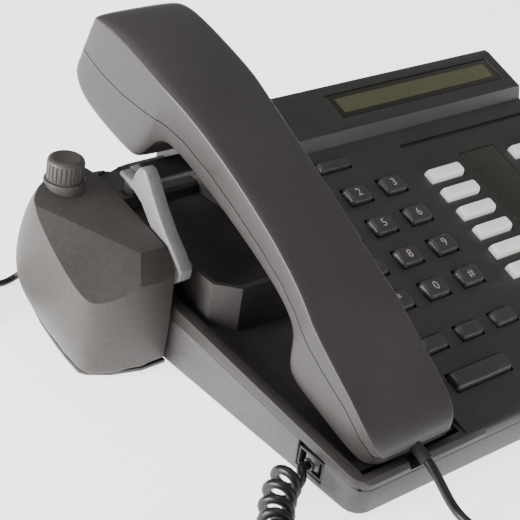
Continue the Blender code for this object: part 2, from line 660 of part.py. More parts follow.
# ---- lifter -----------------------------------------------------------------------------------
# Outline of the housing from its front right corner, round the left, to its back right corner:
# (x, y) on the desk, (x, y) at half height, (x, y, z) at the top
LIFTER_OUTLINE = (
    ((0.0000, 0.1150), (0.0000, 0.1142), (0.0000, 0.1165, 0.0455)),
    ((-0.0120, 0.1148), (-0.0120, 0.1136), (-0.0120, 0.1165, 0.0438)),
    ((-0.0250, 0.1182), (-0.0252, 0.1168), (-0.0245, 0.1195, 0.0418)),
    ((-0.0340, 0.1232), (-0.0345, 0.1218), (-0.0330, 0.1245, 0.0408)),
    ((-0.0360, 0.1262), (-0.0370, 0.1255), (-0.0352, 0.1275, 0.0412)),
    ((-0.0352, 0.1360), (-0.0384, 0.1370), (-0.0366, 0.1370, 0.0458)),
    ((-0.0328, 0.1500), (-0.0390, 0.1520), (-0.0376, 0.1500, 0.0525)),
    ((-0.0300, 0.1630), (-0.0384, 0.1670), (-0.0370, 0.1625, 0.0588)),
    ((-0.0260, 0.1760), (-0.0350, 0.1810), (-0.0335, 0.1730, 0.0608)),
    ((-0.0200, 0.1870), (-0.0262, 0.1930), (-0.0245, 0.1820, 0.0608)),
    ((-0.0110, 0.1940), (-0.0145, 0.1990), (-0.0130, 0.1865, 0.0602)),
    ((0.0000, 0.1960), (0.0000, 0.2005), (0.0000, 0.1875, 0.0598)))
LIFTER_MIDDLE = 0.0260             # height of the widest outline
LIFTER_CREST = 0.0016              # rise of the rounded edge to the top
LIFTER_RIDGE = 0.0042              # further rise of the top, next to the phone


def lifter_ring(level):
    """Outline of the housing at 0, the desk, to 2, the top's edge."""
    ring = []
    for low, middle, top in LIFTER_OUTLINE:
        share = level if level <= 1 else level - 1
        first, second = ((low, middle) if level <= 1 else (middle, top[:2]))
        z_first, z_second = ((LIFTER_BASE + GAP, LIFTER_MIDDLE) if level <= 1 else (LIFTER_MIDDLE, top[2]))
        bulge = 1 - (1 - share) ** 2 if level <= 1 else share ** 2
        ring.append((first[0] + (second[0] - first[0]) * bulge - LIFTER_GAP,
                     first[1] + (second[1] - first[1]) * bulge, z_first + (z_second - z_first) * share))
    return ring


def inward(ring, amount, rise=0.0):
    """Moves an outline in towards its middle, keeping its right side's plane."""
    middle_x = sum(point[0] for point in ring) / len(ring)
    middle_y = sum(point[1] for point in ring) / len(ring)
    made = []
    for x, y, z in ring:
        away = Vector((x - middle_x, y - middle_y))
        away -= away.normalized() * amount
        made.append((middle_x + away.x, middle_y + away.y, z + rise))
    return made


def lifter_housing(origin, plastic):
    """Shell with a bulging left cheek and a top that rises to the back."""
    shape = bmesh.new()
    levels = [lifter_ring(level) for level in (0, 0.35, 0.7, 1.0, 1.3, 1.65, 1.93)]
    crest = [(x, y, z + LIFTER_CREST) for x, y, z in inward(lifter_ring(2), 0.0028)]
    raised = [(x, y, z + LIFTER_CREST + LIFTER_RIDGE * (1 + x / LIFTER_REACH))
              for x, y, z in inward(lifter_ring(2), 0.0085)]
    add_loft(shape, levels + [inward(lifter_ring(2), 0.0008), crest, raised])
    housing = finish("lifter_housing", shape, plastic, origin, True)
    inside = bmesh.new()
    lows = [(x, y, -0.001) for x, y, _ in inward(lifter_ring(0), LIFTER_WALL)]
    mids = [(x, y, z) for x, y, z in inward(lifter_ring(1), LIFTER_WALL)]
    tops = [(x, y, z - 0.0030) for x, y, z in inward(lifter_ring(2), LIFTER_WALL + 0.002)]
    add_loft(inside, [lows, [(x, y, LIFTER_BASE + GAP + 0.001) for x, y, _ in lows], mids, tops])
    cut(housing, "lifter_hollow", inside)
    bore = bmesh.new()
    add_rod(bore, PIN_RADIUS + PIN_FIT, -0.0160, 0.0100, (0, *ARM_PIVOT), 0, 20)
    cut(housing, "pin_bore", bore)
    gland = bmesh.new()
    add_rod(gland, LIFTER_LEAD / 2 + GAP, -0.006, 0.012, LEAD_EXIT, 1, 12)
    cut(housing, "lead_outlet", gland)


def lifter_inside(origin, plastic, metal):
    shape = bmesh.new()
    ring = inward(lifter_ring(0), 0.0)
    add_loft(shape, [[(x, y, 0.0) for x, y, _ in inward(ring, 0.0006)], [(x, y, 0.0006) for x, y, _ in ring],
                     [(x, y, LIFTER_BASE) for x, y, _ in ring]])
    finish("lifter_base_plate", shape, plastic, origin)
    shape = bmesh.new()
    radius, length, shaft = 0.0080, 0.0250, 0.0030
    add_turned(shape, [(0, 0), (radius, 0), (radius, length), (shaft, length), (shaft, length + 0.0040),
                       (0, length + 0.0040)], (-0.0180, 0.1420, LIFTER_BASE + 0.0100), axis=1, steps=20)
    finish("lifter_motor", shape, metal, origin, True)


def pivot_pin(origin, metal):
    shape = bmesh.new()
    y, z = ARM_PIVOT
    low, high = -0.0110, ARM_LEFT + ARM_THICK + 0.0016
    radius = PIN_RADIUS
    add_turned(shape, [(0, low), (radius, low), (radius, high - 0.0010), (radius + 0.0012, high - 0.0010),
                       (radius + 0.0012, high), (0, high)], (0, y, z), axis=0, steps=20)
    finish("pivot_pin", shape, metal, origin, True)


def plate_height(y):
    """Height of the lift plate's top, in the phone's frame, with the arm up."""
    return PLATE_FRONT[1] + (y - PLATE_FRONT[0]) * math.tan(PLATE_SLOPE)


def lifter_arm(pivot, plastic):
    """Lever on the pivot pin, with a plate across its end that goes under the handset."""
    y0, z0 = ARM_PIVOT
    front = (PLATE_FRONT[0] - y0, PLATE_FRONT[1] - z0)
    back = (PLATE_BACK - y0, plate_height(PLATE_BACK) - z0)
    outline = []
    steps = 10
    for i in range(steps + 1):
        angle = math.radians(125) + math.radians(215) * i / steps
        outline.append((ARM_HUB * math.cos(angle), ARM_HUB * math.sin(angle)))
    tail, under = back[0] + TAB_TAIL, back[1] - TAB_HEIGHT
    top_y, top_z = BLADE_TOP[0] - y0, BLADE_TOP[1] - z0
    outline += [(front[0] - 0.0050, front[1] - 0.0120), (front[0], front[1] - TAB_HEIGHT),
                (tail - 0.0010, under + 0.0010), (tail, under + 0.0020), (tail, back[1] - 0.0004), back,
                (top_y + 0.0062, top_z - 0.0058), (top_y + 0.0036, top_z - 0.0012), (top_y + 0.0016, top_z),
                (top_y - 0.0006, top_z - 0.0004), (top_y - 0.0026, top_z - 0.0022)]
    shape = bmesh.new()
    add_prism(shape, outline, ARM_LEFT, ARM_LEFT + ARM_THICK)
    arm = finish("lifter_arm", shape, plastic, pivot)
    plate = bmesh.new()
    slab = [front, back, (back[0], back[1] - PLATE_THICK), (front[0] + 0.0004, front[1] - PLATE_THICK)]
    add_prism(plate, slab, ARM_LEFT + ARM_THICK - 0.0010, HANDSET_LEFT + PLATE_REACH)
    join(arm, "lift_plate", plate)
    bore = bmesh.new()
    add_rod(bore, PIN_RADIUS + PIN_FIT, -0.02, 0.03, (0, 0, 0), 0, 20)
    cut(arm, "hub_bore", bore)


def lift_pad(pivot, rubber):
    """Soft pad on the plate, just under the handset's ear end."""
    y0, z0 = ARM_PIVOT
    first, last = PLATE_FRONT[0] + 0.0010, PLATE_BACK - 0.0010
    outline = [(y - y0, plate_height(y) - z0 + height) for y, height in
               ((first, GAP), (first, PAD_THICK - 0.0003), (first + 0.0006, PAD_THICK),
                (last - 0.0006, PAD_THICK), (last, PAD_THICK - 0.0003), (last, GAP))]
    shape = bmesh.new()
    add_prism(shape, outline, HANDSET_LEFT + 0.0015, HANDSET_LEFT + PLATE_REACH - 0.0015)
    finish("lift_pad", shape, rubber, pivot)


def lift_dial(origin, plastic):
    """Turning knob on the lifter's top that sets how high the arm goes."""
    x, y = DIAL_PLACE
    turn = empty("dial_axis", origin, (x, y, DIAL_BOTTOM))
    radius, top = DIAL_RADIUS, DIAL_HEIGHT
    shape = bmesh.new()
    add_turned(shape, [(0, 0), (radius, 0), (radius, top - 0.005), (radius - 0.0008, top - 0.0025),
                       (radius - 0.0028, top - 0.0006), (radius - 0.0055, top), (0, top)], (0, 0, 0), 2, 28)
    finish("lift_dial", shape, plastic, turn, True)


# ---- cords ------------------------------------------------------------------------------------
# Middle line of the curly stretch, from the jack in the phone's left side round the front
COIL_ROUTE = ((-0.0013, 0.0269, 0.0080), (-0.0080, 0.0262, 0.0079),
              (-0.0180, 0.0218, 0.0078), (-0.0290, 0.0125, 0.0076),
              (-0.0385, -0.0005, 0.0076), (-0.0440, -0.0155, 0.0076), (-0.0440, -0.0320, 0.0076),
              (-0.0350, -0.0470, 0.0076), (-0.0180, -0.0560, 0.0076), (0.0010, -0.0570, 0.0076),
              (0.0180, -0.0500, 0.0076), (0.0290, -0.0400, 0.0076))
# Straight stretch from the curly one up to the handset's mouth end
TAIL_ROUTE = ((0.0302, -0.0385, 0.0074), (0.0322, -0.0345, 0.0055), (0.0336, -0.0280, 0.0036),
              (0.0338, -0.0215, 0.0040), (0.0332, -0.0160, 0.0070), (0.0325, -0.0105, 0.0118),
              (0.0318, -0.0055, 0.0160), (0.0313, -0.0005, 0.0186), (0.0312, 0.0047, 0.0202))
# Lifter's lead from its outlet to the coil that puts the rest of it away
LEAD_ROUTE = ((-0.0200, 0.1926, 0.0063), (-0.0204, 0.1948, 0.0052), (-0.0222, 0.1964, 0.0030),
              (-0.0255, 0.1966, 0.0018), (-0.0290, 0.1962, 0.0017), (-0.0325, 0.1968, 0.0017))


def smooth_points(route, per_span):
    """Points on a Catmull-Rom curve through the route's own points."""
    points = [Vector(point) for point in route]
    padded = [points[0] * 2 - points[1]] + points + [points[-1] * 2 - points[-2]]
    made = []
    for i in range(1, len(padded) - 2):
        before, here, there, after = padded[i - 1:i + 3]
        for step in range(per_span):
            t = step / per_span
            square = 2 * before - 5 * here + 4 * there - after
            cube = 3 * here - before - 3 * there + after
            made.append(0.5 * (2 * here + (there - before) * t + square * t * t + cube * t ** 3))
    return made + [points[-1]]


def tube(name, route, diameter, per_span, finish_material, origin, resolution=2):
    curve = bpy.data.curves.new(name, "CURVE")
    curve.dimensions = "3D"
    curve.bevel_depth = diameter / 2
    curve.bevel_resolution = resolution
    curve.use_fill_caps = True
    spline = curve.splines.new("POLY")
    points = smooth_points(route, per_span)
    spline.points.add(len(points) - 1)
    for target, point in zip(spline.points, points):
        target.co = (*point, 1.0)
    curve.materials.append(finish_material)
    made = bpy.data.objects.new(name, curve)
    bpy.context.scene.collection.objects.link(made)
    made.parent = origin


def cords(origin, black):
    tube("handset_cord_coil", COIL_ROUTE, COIL_OUTER, 1, black, origin, 3)
    tube("handset_cord_tail", TAIL_ROUTE, LEAD, 1, black, origin)
    tube("lifter_lead", LEAD_ROUTE, LIFTER_LEAD, 1, black, origin)
    shape = bmesh.new()
    x, y = LIFTER_COIL_CENTRE
    half = LIFTER_LEAD * LIFTER_COIL_TURNS_ACROSS / 2
    inner, outer = LIFTER_COIL_RADIUS - half, LIFTER_COIL_RADIUS + half
    height = LIFTER_LEAD * 2.0
    steps = 28
    rings = []
    for step in range(steps):
        angle = 2 * math.pi * step / steps
        ring = []
        for radius, z in ((inner, 0.0002), (outer, 0.0002), (outer + 0.0002, height / 2), (outer, height),
                          (inner, height)):
            ring.append(shape.verts.new((x + radius * math.cos(angle), y + radius * math.sin(angle), z)))
        rings.append(ring)
    for step in range(steps):
        first, second = rings[step], rings[(step + 1) % steps]
        for i in range(5):
            j = (i + 1) % 5
            shape.faces.new((first[i], first[j], second[j], second[i]))
    finish("lifter_lead_coil", shape, black, origin, True)


def plugs(origin, clear, dark):
    """Modular plug in the phone's side, and the lifter lead's plug."""
    _, y, z = HANDSET_JACK
    shape = bmesh.new()
    rings = []
    neck, body = (0.0022, 0.0016), (0.0038, 0.0029)
    for along, (half_y, half_z) in ((-0.0006, neck), (0.0010, neck), (0.0016, body), (0.0085, body)):
        low, high = z - half_z, z + half_z
        left, right = y - half_y, y + half_y
        rings.append([(along, left, low), (along, right, low), (along, right, high), (along, left, high)])
    add_loft(shape, rings)
    finish("base_plug", shape, clear, origin)
    x, y = LIFTER_COIL_CENTRE
    shape = bmesh.new()
    add_turned(shape, [(0, 0), (0.0012, 0), (0.0012, 0.0100), (0.0036, 0.0106), (0.0040, 0.0120),
                       (0.0040, 0.0210), (0.0020, 0.0240), (0, 0.0240)], (x, y - 0.0120, 0.0042), 1, 16)
    finish("lifter_lead_plug", shape, dark, origin, True)


# ---- the whole object -------------------------------------------------------------------------
def build():
    clear_scene()
    shell = material("charcoal_shell", "#6A6666", 0.45)
    shell_under = material("charcoal_under", "#5C5858", 0.5)
    handset_plastic = material("charcoal_handset", "#6C6866", 0.42)
    key_dark = material("key_charcoal", "#504C4C", 0.5)
    key_white = material("key_label_white", "#F4F4EE", 0.4)
    window = material("display_window_olive", "#3E3C2A", 0.15)
    status = material("status_window_green", "#3A4230", 0.2)
    board = material("board_green", "#2E5A3C", 0.5)
    rubber = material("rubber_black", "#1C1C1C", 0.8)
    steel = material("steel", "#A8A8A8", 0.3, 1.0)
    inner_black = material("inner_black", "#26262A", 0.5)
    lifter_plastic = material("lifter_charcoal", "#625E5C", 0.5)
    arm_grey = material("arm_grey", "#B4B0B2", 0.4)
    black = material("cord_black", "#14140E", 0.5)
    clear = material("plug_clear", "#C8C8C0", 0.2)

    origin = empty("desk_origin", None, -CENTRE)
    face = empty("key_face", origin, (0, 0, FACE_FRONT), (FACE_ANGLE, 0, 0))
    handset_pivot = empty("handset_pivot", origin, (HANDSET_LEFT + HANDSET_WIDTH / 2, *MOUTH_PIVOT),
                          (HANDSET_TILT, 0, 0))
    arm_pivot = empty("arm_pivot", origin, (0, *ARM_PIVOT))

    base_tray(origin, shell_under)
    base_cover(origin, shell)
    displays(face, window, status)
    keys(face, key_dark, key_white)
    inner_parts(origin, face, board, rubber, inner_black)
    hook_plunger(origin, key_dark)
    jack_sockets(origin, inner_black)
    feet(origin, rubber)
    handset_shells(handset_pivot, handset_plastic)
    handset_inside(handset_pivot, inner_black, steel)
    lifter_housing(origin, lifter_plastic)
    lifter_inside(origin, lifter_plastic, steel)
    pivot_pin(origin, steel)
    lifter_arm(arm_pivot, arm_grey)
    lift_pad(arm_pivot, rubber)
    lift_dial(origin, lifter_plastic)
    cords(origin, black)
    plugs(origin, clear, inner_black)


build()
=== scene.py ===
"""Looks for an office desk telephone whose handset is held up by a lifter at its left side."""
import json
import math

import bmesh
import bpy
from mathutils import Matrix, Vector


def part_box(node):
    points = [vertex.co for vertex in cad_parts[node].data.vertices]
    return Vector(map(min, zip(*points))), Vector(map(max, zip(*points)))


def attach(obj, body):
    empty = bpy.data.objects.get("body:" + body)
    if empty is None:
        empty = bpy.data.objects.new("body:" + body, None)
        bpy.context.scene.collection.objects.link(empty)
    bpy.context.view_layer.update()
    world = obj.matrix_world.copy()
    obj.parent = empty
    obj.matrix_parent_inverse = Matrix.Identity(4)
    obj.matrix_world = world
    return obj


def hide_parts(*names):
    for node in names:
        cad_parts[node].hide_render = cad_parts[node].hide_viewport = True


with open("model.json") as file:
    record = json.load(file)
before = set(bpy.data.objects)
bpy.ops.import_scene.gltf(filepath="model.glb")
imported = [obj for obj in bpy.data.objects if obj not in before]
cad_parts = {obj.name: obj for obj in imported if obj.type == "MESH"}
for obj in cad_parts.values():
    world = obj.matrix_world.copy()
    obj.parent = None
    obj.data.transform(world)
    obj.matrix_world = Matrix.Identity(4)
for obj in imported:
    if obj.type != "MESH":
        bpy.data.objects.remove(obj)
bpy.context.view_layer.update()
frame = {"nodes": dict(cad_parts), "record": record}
nodes = frame["nodes"]

# ---- sizes, in metres ---------------------------------------------------------------------------
TRAY_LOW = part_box("base_tray")[0]
CORNER = Vector((TRAY_LOW.x, TRAY_LOW.y, 0.0))     # front left corner of the base, on the desk
FACE_ANGLE = math.radians(19.3)                    # incline of the key face
FACE_FRONT = 0.0160
HANDSET_TILT = math.radians(20.4)
WIRE = 0.0038                                      # handset cord
COIL_RADIUS = 0.0053                               # middle of the wire in the curly stretch
LEAD = 0.0030                                      # lifter's lead
COIL_CENTRE = (-0.0560, 0.1930)                    # put-away coil of the lifter's lead
LINE_STEP = 0.0005                                 # between points on the curly stretch's middle line
TURN_STEPS = 14                                    # wire points round one turn
CLOSED_PITCH = 0.0041                              # from turn to turn where the coil is closed
STRETCHED_MORE = 0.0045                            # added to it where the coil is pulled open
STRETCHED_AT, STRETCHED_OVER = 0.022, 0.020        # how far along that is, and over what length
OPENING_MORE = 0.0300                              # added where the turns shrink to a straight wire
RAMP = 0.012                                       # the length over which they shrink
JACK_MOUTH = (-0.0009, 0.0270, 0.0078)             # where the handset cord leaves its plug

# Cord routes, measured from the base's corner, as the frame has them
COIL_ROUTE = ((-0.0013, 0.0269, 0.0080), (-0.0080, 0.0262, 0.0079),
              (-0.0180, 0.0218, 0.0078), (-0.0290, 0.0125, 0.0076),
              (-0.0385, -0.0005, 0.0076), (-0.0440, -0.0155, 0.0076), (-0.0440, -0.0320, 0.0076),
              (-0.0350, -0.0470, 0.0076), (-0.0180, -0.0560, 0.0076), (0.0010, -0.0570, 0.0076),
              (0.0180, -0.0500, 0.0076), (0.0290, -0.0400, 0.0076))
TAIL_ROUTE = ((0.0302, -0.0385, 0.0074), (0.0322, -0.0345, 0.0055), (0.0336, -0.0280, 0.0036),
              (0.0338, -0.0215, 0.0040), (0.0332, -0.0160, 0.0070), (0.0325, -0.0105, 0.0118),
              (0.0318, -0.0055, 0.0160), (0.0313, -0.0005, 0.0186), (0.0312, 0.0047, 0.0202))
LEAD_ROUTE = ((-0.0200, 0.1926, 0.0063), (-0.0204, 0.1948, 0.0052), (-0.0222, 0.1964, 0.0030),
              (-0.0255, 0.1966, 0.0018), (-0.0290, 0.1962, 0.0017), (-0.0325, 0.1968, 0.0017))


def at(point):
    """A point measured from the base's corner, in the frame."""
    return CORNER + Vector(point)


# ---- camera, floor and light --------------------------------------------------------------------
def camera():
    made = bpy.data.objects.new("camera", bpy.data.cameras.new("camera"))
    bpy.context.scene.collection.objects.link(made)
    made.data.lens = 104.5
    made.data.sensor_width = 36.0
    made.data.shift_y = 0.0067
    made.data.clip_start = 0.01
    azimuth, elevation, roll = math.radians(44.96), math.radians(30.51), math.radians(9.36)
    made.matrix_world = (Matrix.Translation(at((-0.3426, -0.2728, 0.3588)))
                         @ Matrix.Rotation(-azimuth, 4, "Z")
                         @ Matrix.Rotation(math.pi / 2 - elevation, 4, "X")
                         @ Matrix.Rotation(roll, 4, "Z"))
    bpy.context.scene.camera = made


def lamp(name, place, target, size, power):
    data = bpy.data.lights.new(name, "AREA")
    data.shape = "DISK"
    data.size = size
    data.energy = power
    made = bpy.data.objects.new(name, data)
    bpy.context.scene.collection.objects.link(made)
    made.location = place
    made.rotation_euler = (Vector(target) - Vector(place)).to_track_quat("-Z", "Y").to_euler()


def studio():
    world = bpy.data.worlds.new("studio")
    bpy.context.scene.world = world
    world.use_nodes = True
    backdrop = world.node_tree.nodes["Background"]
    backdrop.inputs["Color"].default_value = (1.0, 1.0, 1.0, 1.0)
    backdrop.inputs["Strength"].default_value = 0.36
    centre = (0.0, 0.0, 0.05)
    lamp("left_light", (-1.25, 0.30, 0.34), centre, 0.6, 28.0)
    lamp("top_light", (-0.10, 0.30, 1.40), centre, 1.2, 4.5)
    lamp("front_light", (0.30, -1.20, 0.45), centre, 0.8, 3.0)


# ---- materials ----------------------------------------------------------------------------------
CLOUD_SIZE = 0.045     # of the cloudy tone
HANDLING = 0.06        # how far handling moves the roughness either way


def linear(colour):
    """An sRGB hex value as linear RGBA."""
    parts = [int(colour[i:i + 2], 16) / 255 for i in (1, 3, 5)]
    return (*[part / 12.92 if part <= 0.04045 else ((part + 0.055) / 1.055) ** 2.4 for part in parts], 1.0)


def add_node(tree, kind, inputs=(), **properties):
    """Adds a node with its properties; an input is given by name or number, as a value or as a link."""
    made = tree.nodes.new("ShaderNode" + kind)
    for name, value in properties.items():
        setattr(made, name, value)
    for name, value in dict(inputs).items():
        if isinstance(value, bpy.types.NodeSocket):
            tree.links.new(value, made.inputs[name])
        else:
            made.inputs[name].default_value = value
    return made


def new_material(name, roughness, metallic=0.0):
    made = bpy.data.materials.new(name)
    made.use_nodes = True
    shader = made.node_tree.nodes["Principled BSDF"]
    shader.inputs["Roughness"].default_value = roughness
    shader.inputs["Metallic"].default_value = metallic
    return made, made.node_tree, shader


def noise(tree, place, size, detail):
    """Noise with features of about that size, in metres."""
    return add_node(tree, "TexNoise", {"Vector": place, "Scale": 1 / size, "Detail": detail}).outputs["Fac"]


def between_colours(tree, share, dark, light):
    """A colour between two sRGB hex colours."""
    return add_node(tree, "Mix", {0: share, 6: linear(dark), 7: linear(light)}, data_type="RGBA").outputs[2]


def moulded_plastic(name, dark, light, roughness, grain, depth=0.00006, ior=1.53):
    """Moulded thermoplastic: a spark-eroded grain of that size, cloudy tone and handled, shinier spots."""
    made, tree, shader = new_material(name, roughness)
    place = add_node(tree, "TexCoord").outputs["Object"]
    cloud = noise(tree, place, CLOUD_SIZE, 4.0)
    fleck = noise(tree, place, 4 * grain, 3.0)
    mixed = add_node(tree, "Math", {0: cloud, 1: fleck}, operation="ADD").outputs[0]
    share = add_node(tree, "MapRange", {"Value": mixed, "From Min": 0.7, "From Max": 1.3}).outputs[0]
    tree.links.new(between_colours(tree, share, dark, light), shader.inputs["Base Color"])
    shine = add_node(tree, "MapRange", {"Value": cloud, "From Min": 0.3, "From Max": 0.7,
                                        "To Min": roughness - HANDLING,
                                        "To Max": roughness + HANDLING}).outputs[0]
    tree.links.new(shine, shader.inputs["Roughness"])
    pits = noise(tree, place, grain, 2.0)
    bump = add_node(tree, "Bump", {"Height": pits, "Strength": 0.35, "Distance": depth}).outputs[0]
    tree.links.new(bump, shader.inputs["Normal"])
    shader.inputs["IOR"].default_value = ior
    return made


def painted_glow_label_cap():
    """A clear cap over a white card, made brighter by a painted glow: an emission that stands in for light
    falling on it.
    """
    made = moulded_plastic("polycarbonate_over_white_card_painted_glow", "#F2F2EC", "#FCFCF8", 0.25, 0.00080,
                           0.00001, 1.58)
    shader = made.node_tree.nodes["Principled BSDF"]
    # painted light: the caps glow by emission, though they are no lamp
    shader.inputs["Emission Color"].default_value = linear("#FCFCF8")
    shader.inputs["Emission Strength"].default_value = 0.30
    return made


# Textured ABS in warm charcoal: the base's shells. Fine matte grain, faint cloudiness.
abs_shell = moulded_plastic("abs_charcoal_spark_grain", "#2A2725", "#363230", 0.50, 0.00045)
# The lower shell's copy of the same charcoal ABS is painted lighter: painted light on its side walls, which
# face the lamps.
abs_painted_lit_sides = moulded_plastic("abs_charcoal_painted_lit_sides", "#454142", "#545051", 0.56, 0.00045)
# Polished ABS: the handset. The same charcoal, smoother, so the light rolls along it.
abs_handset = moulded_plastic("abs_charcoal_satin", "#353130", "#403C3B", 0.38, 0.00030, 0.00003)
# Textured ABS of another maker's grey: the lifter.
abs_lifter = moulded_plastic("abs_graphite_grain", "#3A3633", "#474340", 0.48, 0.00050)
# Nylon lever, light grey and smooth.
nylon_arm = moulded_plastic("nylon_light_grey", "#7E7A7C", "#918D8F", 0.38, 0.00060, 0.00003)
# PBT key caps: dark, slightly shiny from use.
pbt_key = moulded_plastic("pbt_key_charcoal", "#302D2C", "#3C3938", 0.40, 0.00030, 0.00003, 1.57)
# Polycarbonate cap over a white card: glossy, and made bright by a painted glow (emission).
glowing_label_cap = painted_glow_label_cap()
# Pad-printed ink on the number keys: pale grey and matte.
print_white = moulded_plastic("printed_ink_pale_grey", "#A8A49E", "#BAB6B0", 0.55, 0.00030, 0.00001)
# Thermoplastic rubber: feet, pad and key mat.
soft_rubber = moulded_plastic("thermoplastic_rubber_black", "#141414", "#202020", 0.78, 0.00040)
# Flame-proof nylon: sockets, switch and hidden mouldings.
nylon_black = moulded_plastic("nylon_black", "#161618", "#222226", 0.5, 0.00040)
# PVC cord jacket: black, softly shiny.
pvc_cord = moulded_plastic("pvc_cord_black", "#060605", "#0D0D0B", 0.42, 0.00070, 0.00002)
# Acrylic window over the dark display: deep olive, polished, with faint rubbed streaks.
display_lens = moulded_plastic("acrylic_window_smoked", "#1E1D16", "#26251C", 0.14, 0.00060, 0.00001, 1.49)
# Unlit liquid crystal behind it: flat olive grey.
liquid_crystal = moulded_plastic("liquid_crystal_olive", "#55533A", "#5F5D43", 0.22, 0.00060, 0.00001, 1.49)
# Acrylic window of the status display, tinted green.
status_lens = moulded_plastic("acrylic_window_green", "#262C20", "#30372A", 0.18, 0.00060, 0.00001, 1.49)
# Epoxy board under green solder mask.
board_mask = moulded_plastic("epoxy_board_green_mask", "#1F4A30", "#2E5A3C", 0.35, 0.00080, 0.00002, 1.5)
# Polycarbonate plug: clear over dark contacts, so it reads as smoky grey.
clear_plug = moulded_plastic("polycarbonate_plug_smoky", "#3A3A38", "#4C4C4A", 0.15, 0.00060, 0.00001, 1.58)


def turned_steel():
    """Turned steel: rings from the tool along the axis, satin, with slight tone changes."""
    made, tree, shader = new_material("steel_turned_satin", 0.3, 1.0)
    place = add_node(tree, "TexCoord").outputs["Object"]
    ring_pitch = 0.0012
    rings = add_node(tree, "TexWave", {"Vector": place, "Scale": 1 / ring_pitch, "Distortion": 1.5,
                                       "Detail": 3.0}, bands_direction="X").outputs["Fac"]
    tree.links.new(between_colours(tree, rings, "#9C9C9E", "#B4B4B6"), shader.inputs["Base Color"])
    shine = add_node(tree, "MapRange", {"Value": rings, "To Min": 0.24, "To Max": 0.38}).outputs[0]
    tree.links.new(shine, shader.inputs["Roughness"])
    bump = add_node(tree, "Bump", {"Height": rings, "Strength": 0.2, "Distance": 0.00002}).outputs[0]
    tree.links.new(bump, shader.inputs["Normal"])
    return made


steel_turned = turned_steel()


# ---- cords --------------------------------------------------------------------------------------
def smooth_points(route, per_span):
    """Points on a Catmull-Rom curve through the route's own points."""
    points = [Vector(point) for point in route]
    padded = [points[0] * 2 - points[1]] + points + [points[-1] * 2 - points[-2]]
    made = []
    for i in range(1, len(padded) - 2):
        before, here, there, after = padded[i - 1:i + 3]
        for step in range(per_span):
            t = step / per_span
            square = 2 * before - 5 * here + 4 * there - after
            cube = 3 * here - before - 3 * there + after
            made.append(0.5 * (2 * here + (there - before) * t + square * t * t + cube * t ** 3))
    return made + [points[-1]]


def resampled(points, spacing):
    """Points an equal distance apart along a line of points."""
    made, left = [points[0]], spacing
    for start, end in zip(points, points[1:]):
        span = (end - start).length
        while span >= left:
            start = start + (end - start) * (left / span)
            span -= left
            left = spacing
            made.append(start)
        left -= span
    return made


def line_length(points):
    return sum((b - a).length for a, b in zip(points, points[1:]))


def cord_curve(name, points, diameter, material):
    curve = bpy.data.curves.new(name, "CURVE")
    curve.dimensions = "3D"
    curve.bevel_depth = diameter / 2
    curve.bevel_resolution = 3
    curve.use_fill_caps = True
    spline = curve.splines.new("POLY")
    spline.points.add(len(points) - 1)
    for target, point in zip(spline.points, points):
        target.co = (*point, 1.0)
    spline.use_smooth = True
    curve.materials.append(material)
    made = bpy.data.objects.new(name, curve)
    bpy.context.scene.collection.objects.link(made)
    return made


def curly_points():
    """The handset cord's middle line: out of the jack, round the turns, then straight to the handset."""
    line = resampled(smooth_points([at(point) for point in COIL_ROUTE], 12), LINE_STEP)
    whole = line_length(line)
    made = [at(JACK_MOUTH)]
    angle, travelled = math.pi / 2, 0.0
    previous = line[0]
    for index, point in enumerate(line[1:-1], 1):
        travelled += (point - previous).length
        previous = point
        along = (line[index + 1] - line[index - 1]).normalized()
        side = along.cross(Vector((0, 0, 1))).normalized()
        up = side.cross(along)
        stretched = math.exp(-((travelled - STRETCHED_AT) / STRETCHED_OVER) ** 2)
        swell = min(1.0, travelled / RAMP, (whole - travelled) / RAMP)
        swell = swell * swell * (3 - 2 * swell)
        pitch = CLOSED_PITCH + STRETCHED_MORE * stretched + OPENING_MORE * (1 - swell)
        # several wire points for each step of the middle line
        per_step = max(1, round(LINE_STEP / pitch * TURN_STEPS))
        for part in range(per_step):
            share = part / per_step
            here = point + along * (LINE_STEP * share)
            turn = angle + 2 * math.pi * LINE_STEP * share / pitch
            made.append(here + (side * math.cos(turn) + up * math.sin(turn)) * COIL_RADIUS * swell)
        angle += 2 * math.pi * LINE_STEP / pitch
    return made + smooth_points([at(point) for point in TAIL_ROUTE], 6)


def handset_cord():
    points = curly_points()
    points = [points[0]] + [b for a, b in zip(points, points[1:]) if (b - a).length > 0.0001]
    made = cord_curve("handset_cord", points, WIRE, pvc_cord)
    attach(made, "phone_base")
    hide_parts("handset_cord_coil", "handset_cord_tail")


def lifter_cord():
    """The lifter's lead: along the desk, round its coil in two layers, over the turns to its plug."""
    x, y = COIL_CENTRE
    outer, inner = 0.0181, 0.0150        # radii of the two rings
    rings = (outer, inner, inner, outer, outer)
    low, high = 0.0018, 0.0049           # heights of the two layers
    opening = 0.15                       # turns over which the lead reaches the outer ring
    crossing = 0.2                       # share of a turn in which it changes ring
    climb_from, climb_over = 1.8, 0.3    # turns at which it climbs to the upper layer
    points = smooth_points([at(point) for point in LEAD_ROUTE], 6)[:-1]
    start = math.atan2(LEAD_ROUTE[-1][1] - y, LEAD_ROUTE[-1][0] - x)
    begin = math.hypot(LEAD_ROUTE[-1][1] - y, LEAD_ROUTE[-1][0] - x)
    steps_a_turn, turns = 20, 4.0
    for step in range(int(steps_a_turn * turns) + 1):
        turned = step / steps_a_turn
        if turned < opening:
            radius = begin + (outer - begin) * (turned / opening)
        else:
            lap = min(turned, turns - 0.001)
            level = int(lap)
            blend = max(0.0, (lap - level - (1 - crossing)) / crossing)
            radius = rings[level] + (rings[level + 1] - rings[level]) * blend
        rise = min(1.0, max(0.0, (turned - climb_from) / climb_over))
        angle = start + 2 * math.pi * turned
        points.append(at((x + radius * math.cos(angle), y + radius * math.sin(angle),
                          low + (high - low) * rise)))
    made = cord_curve("lifter_cord", points, LEAD, pvc_cord)
    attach(made, "phone_base")
    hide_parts("lifter_lead", "lifter_lead_coil")


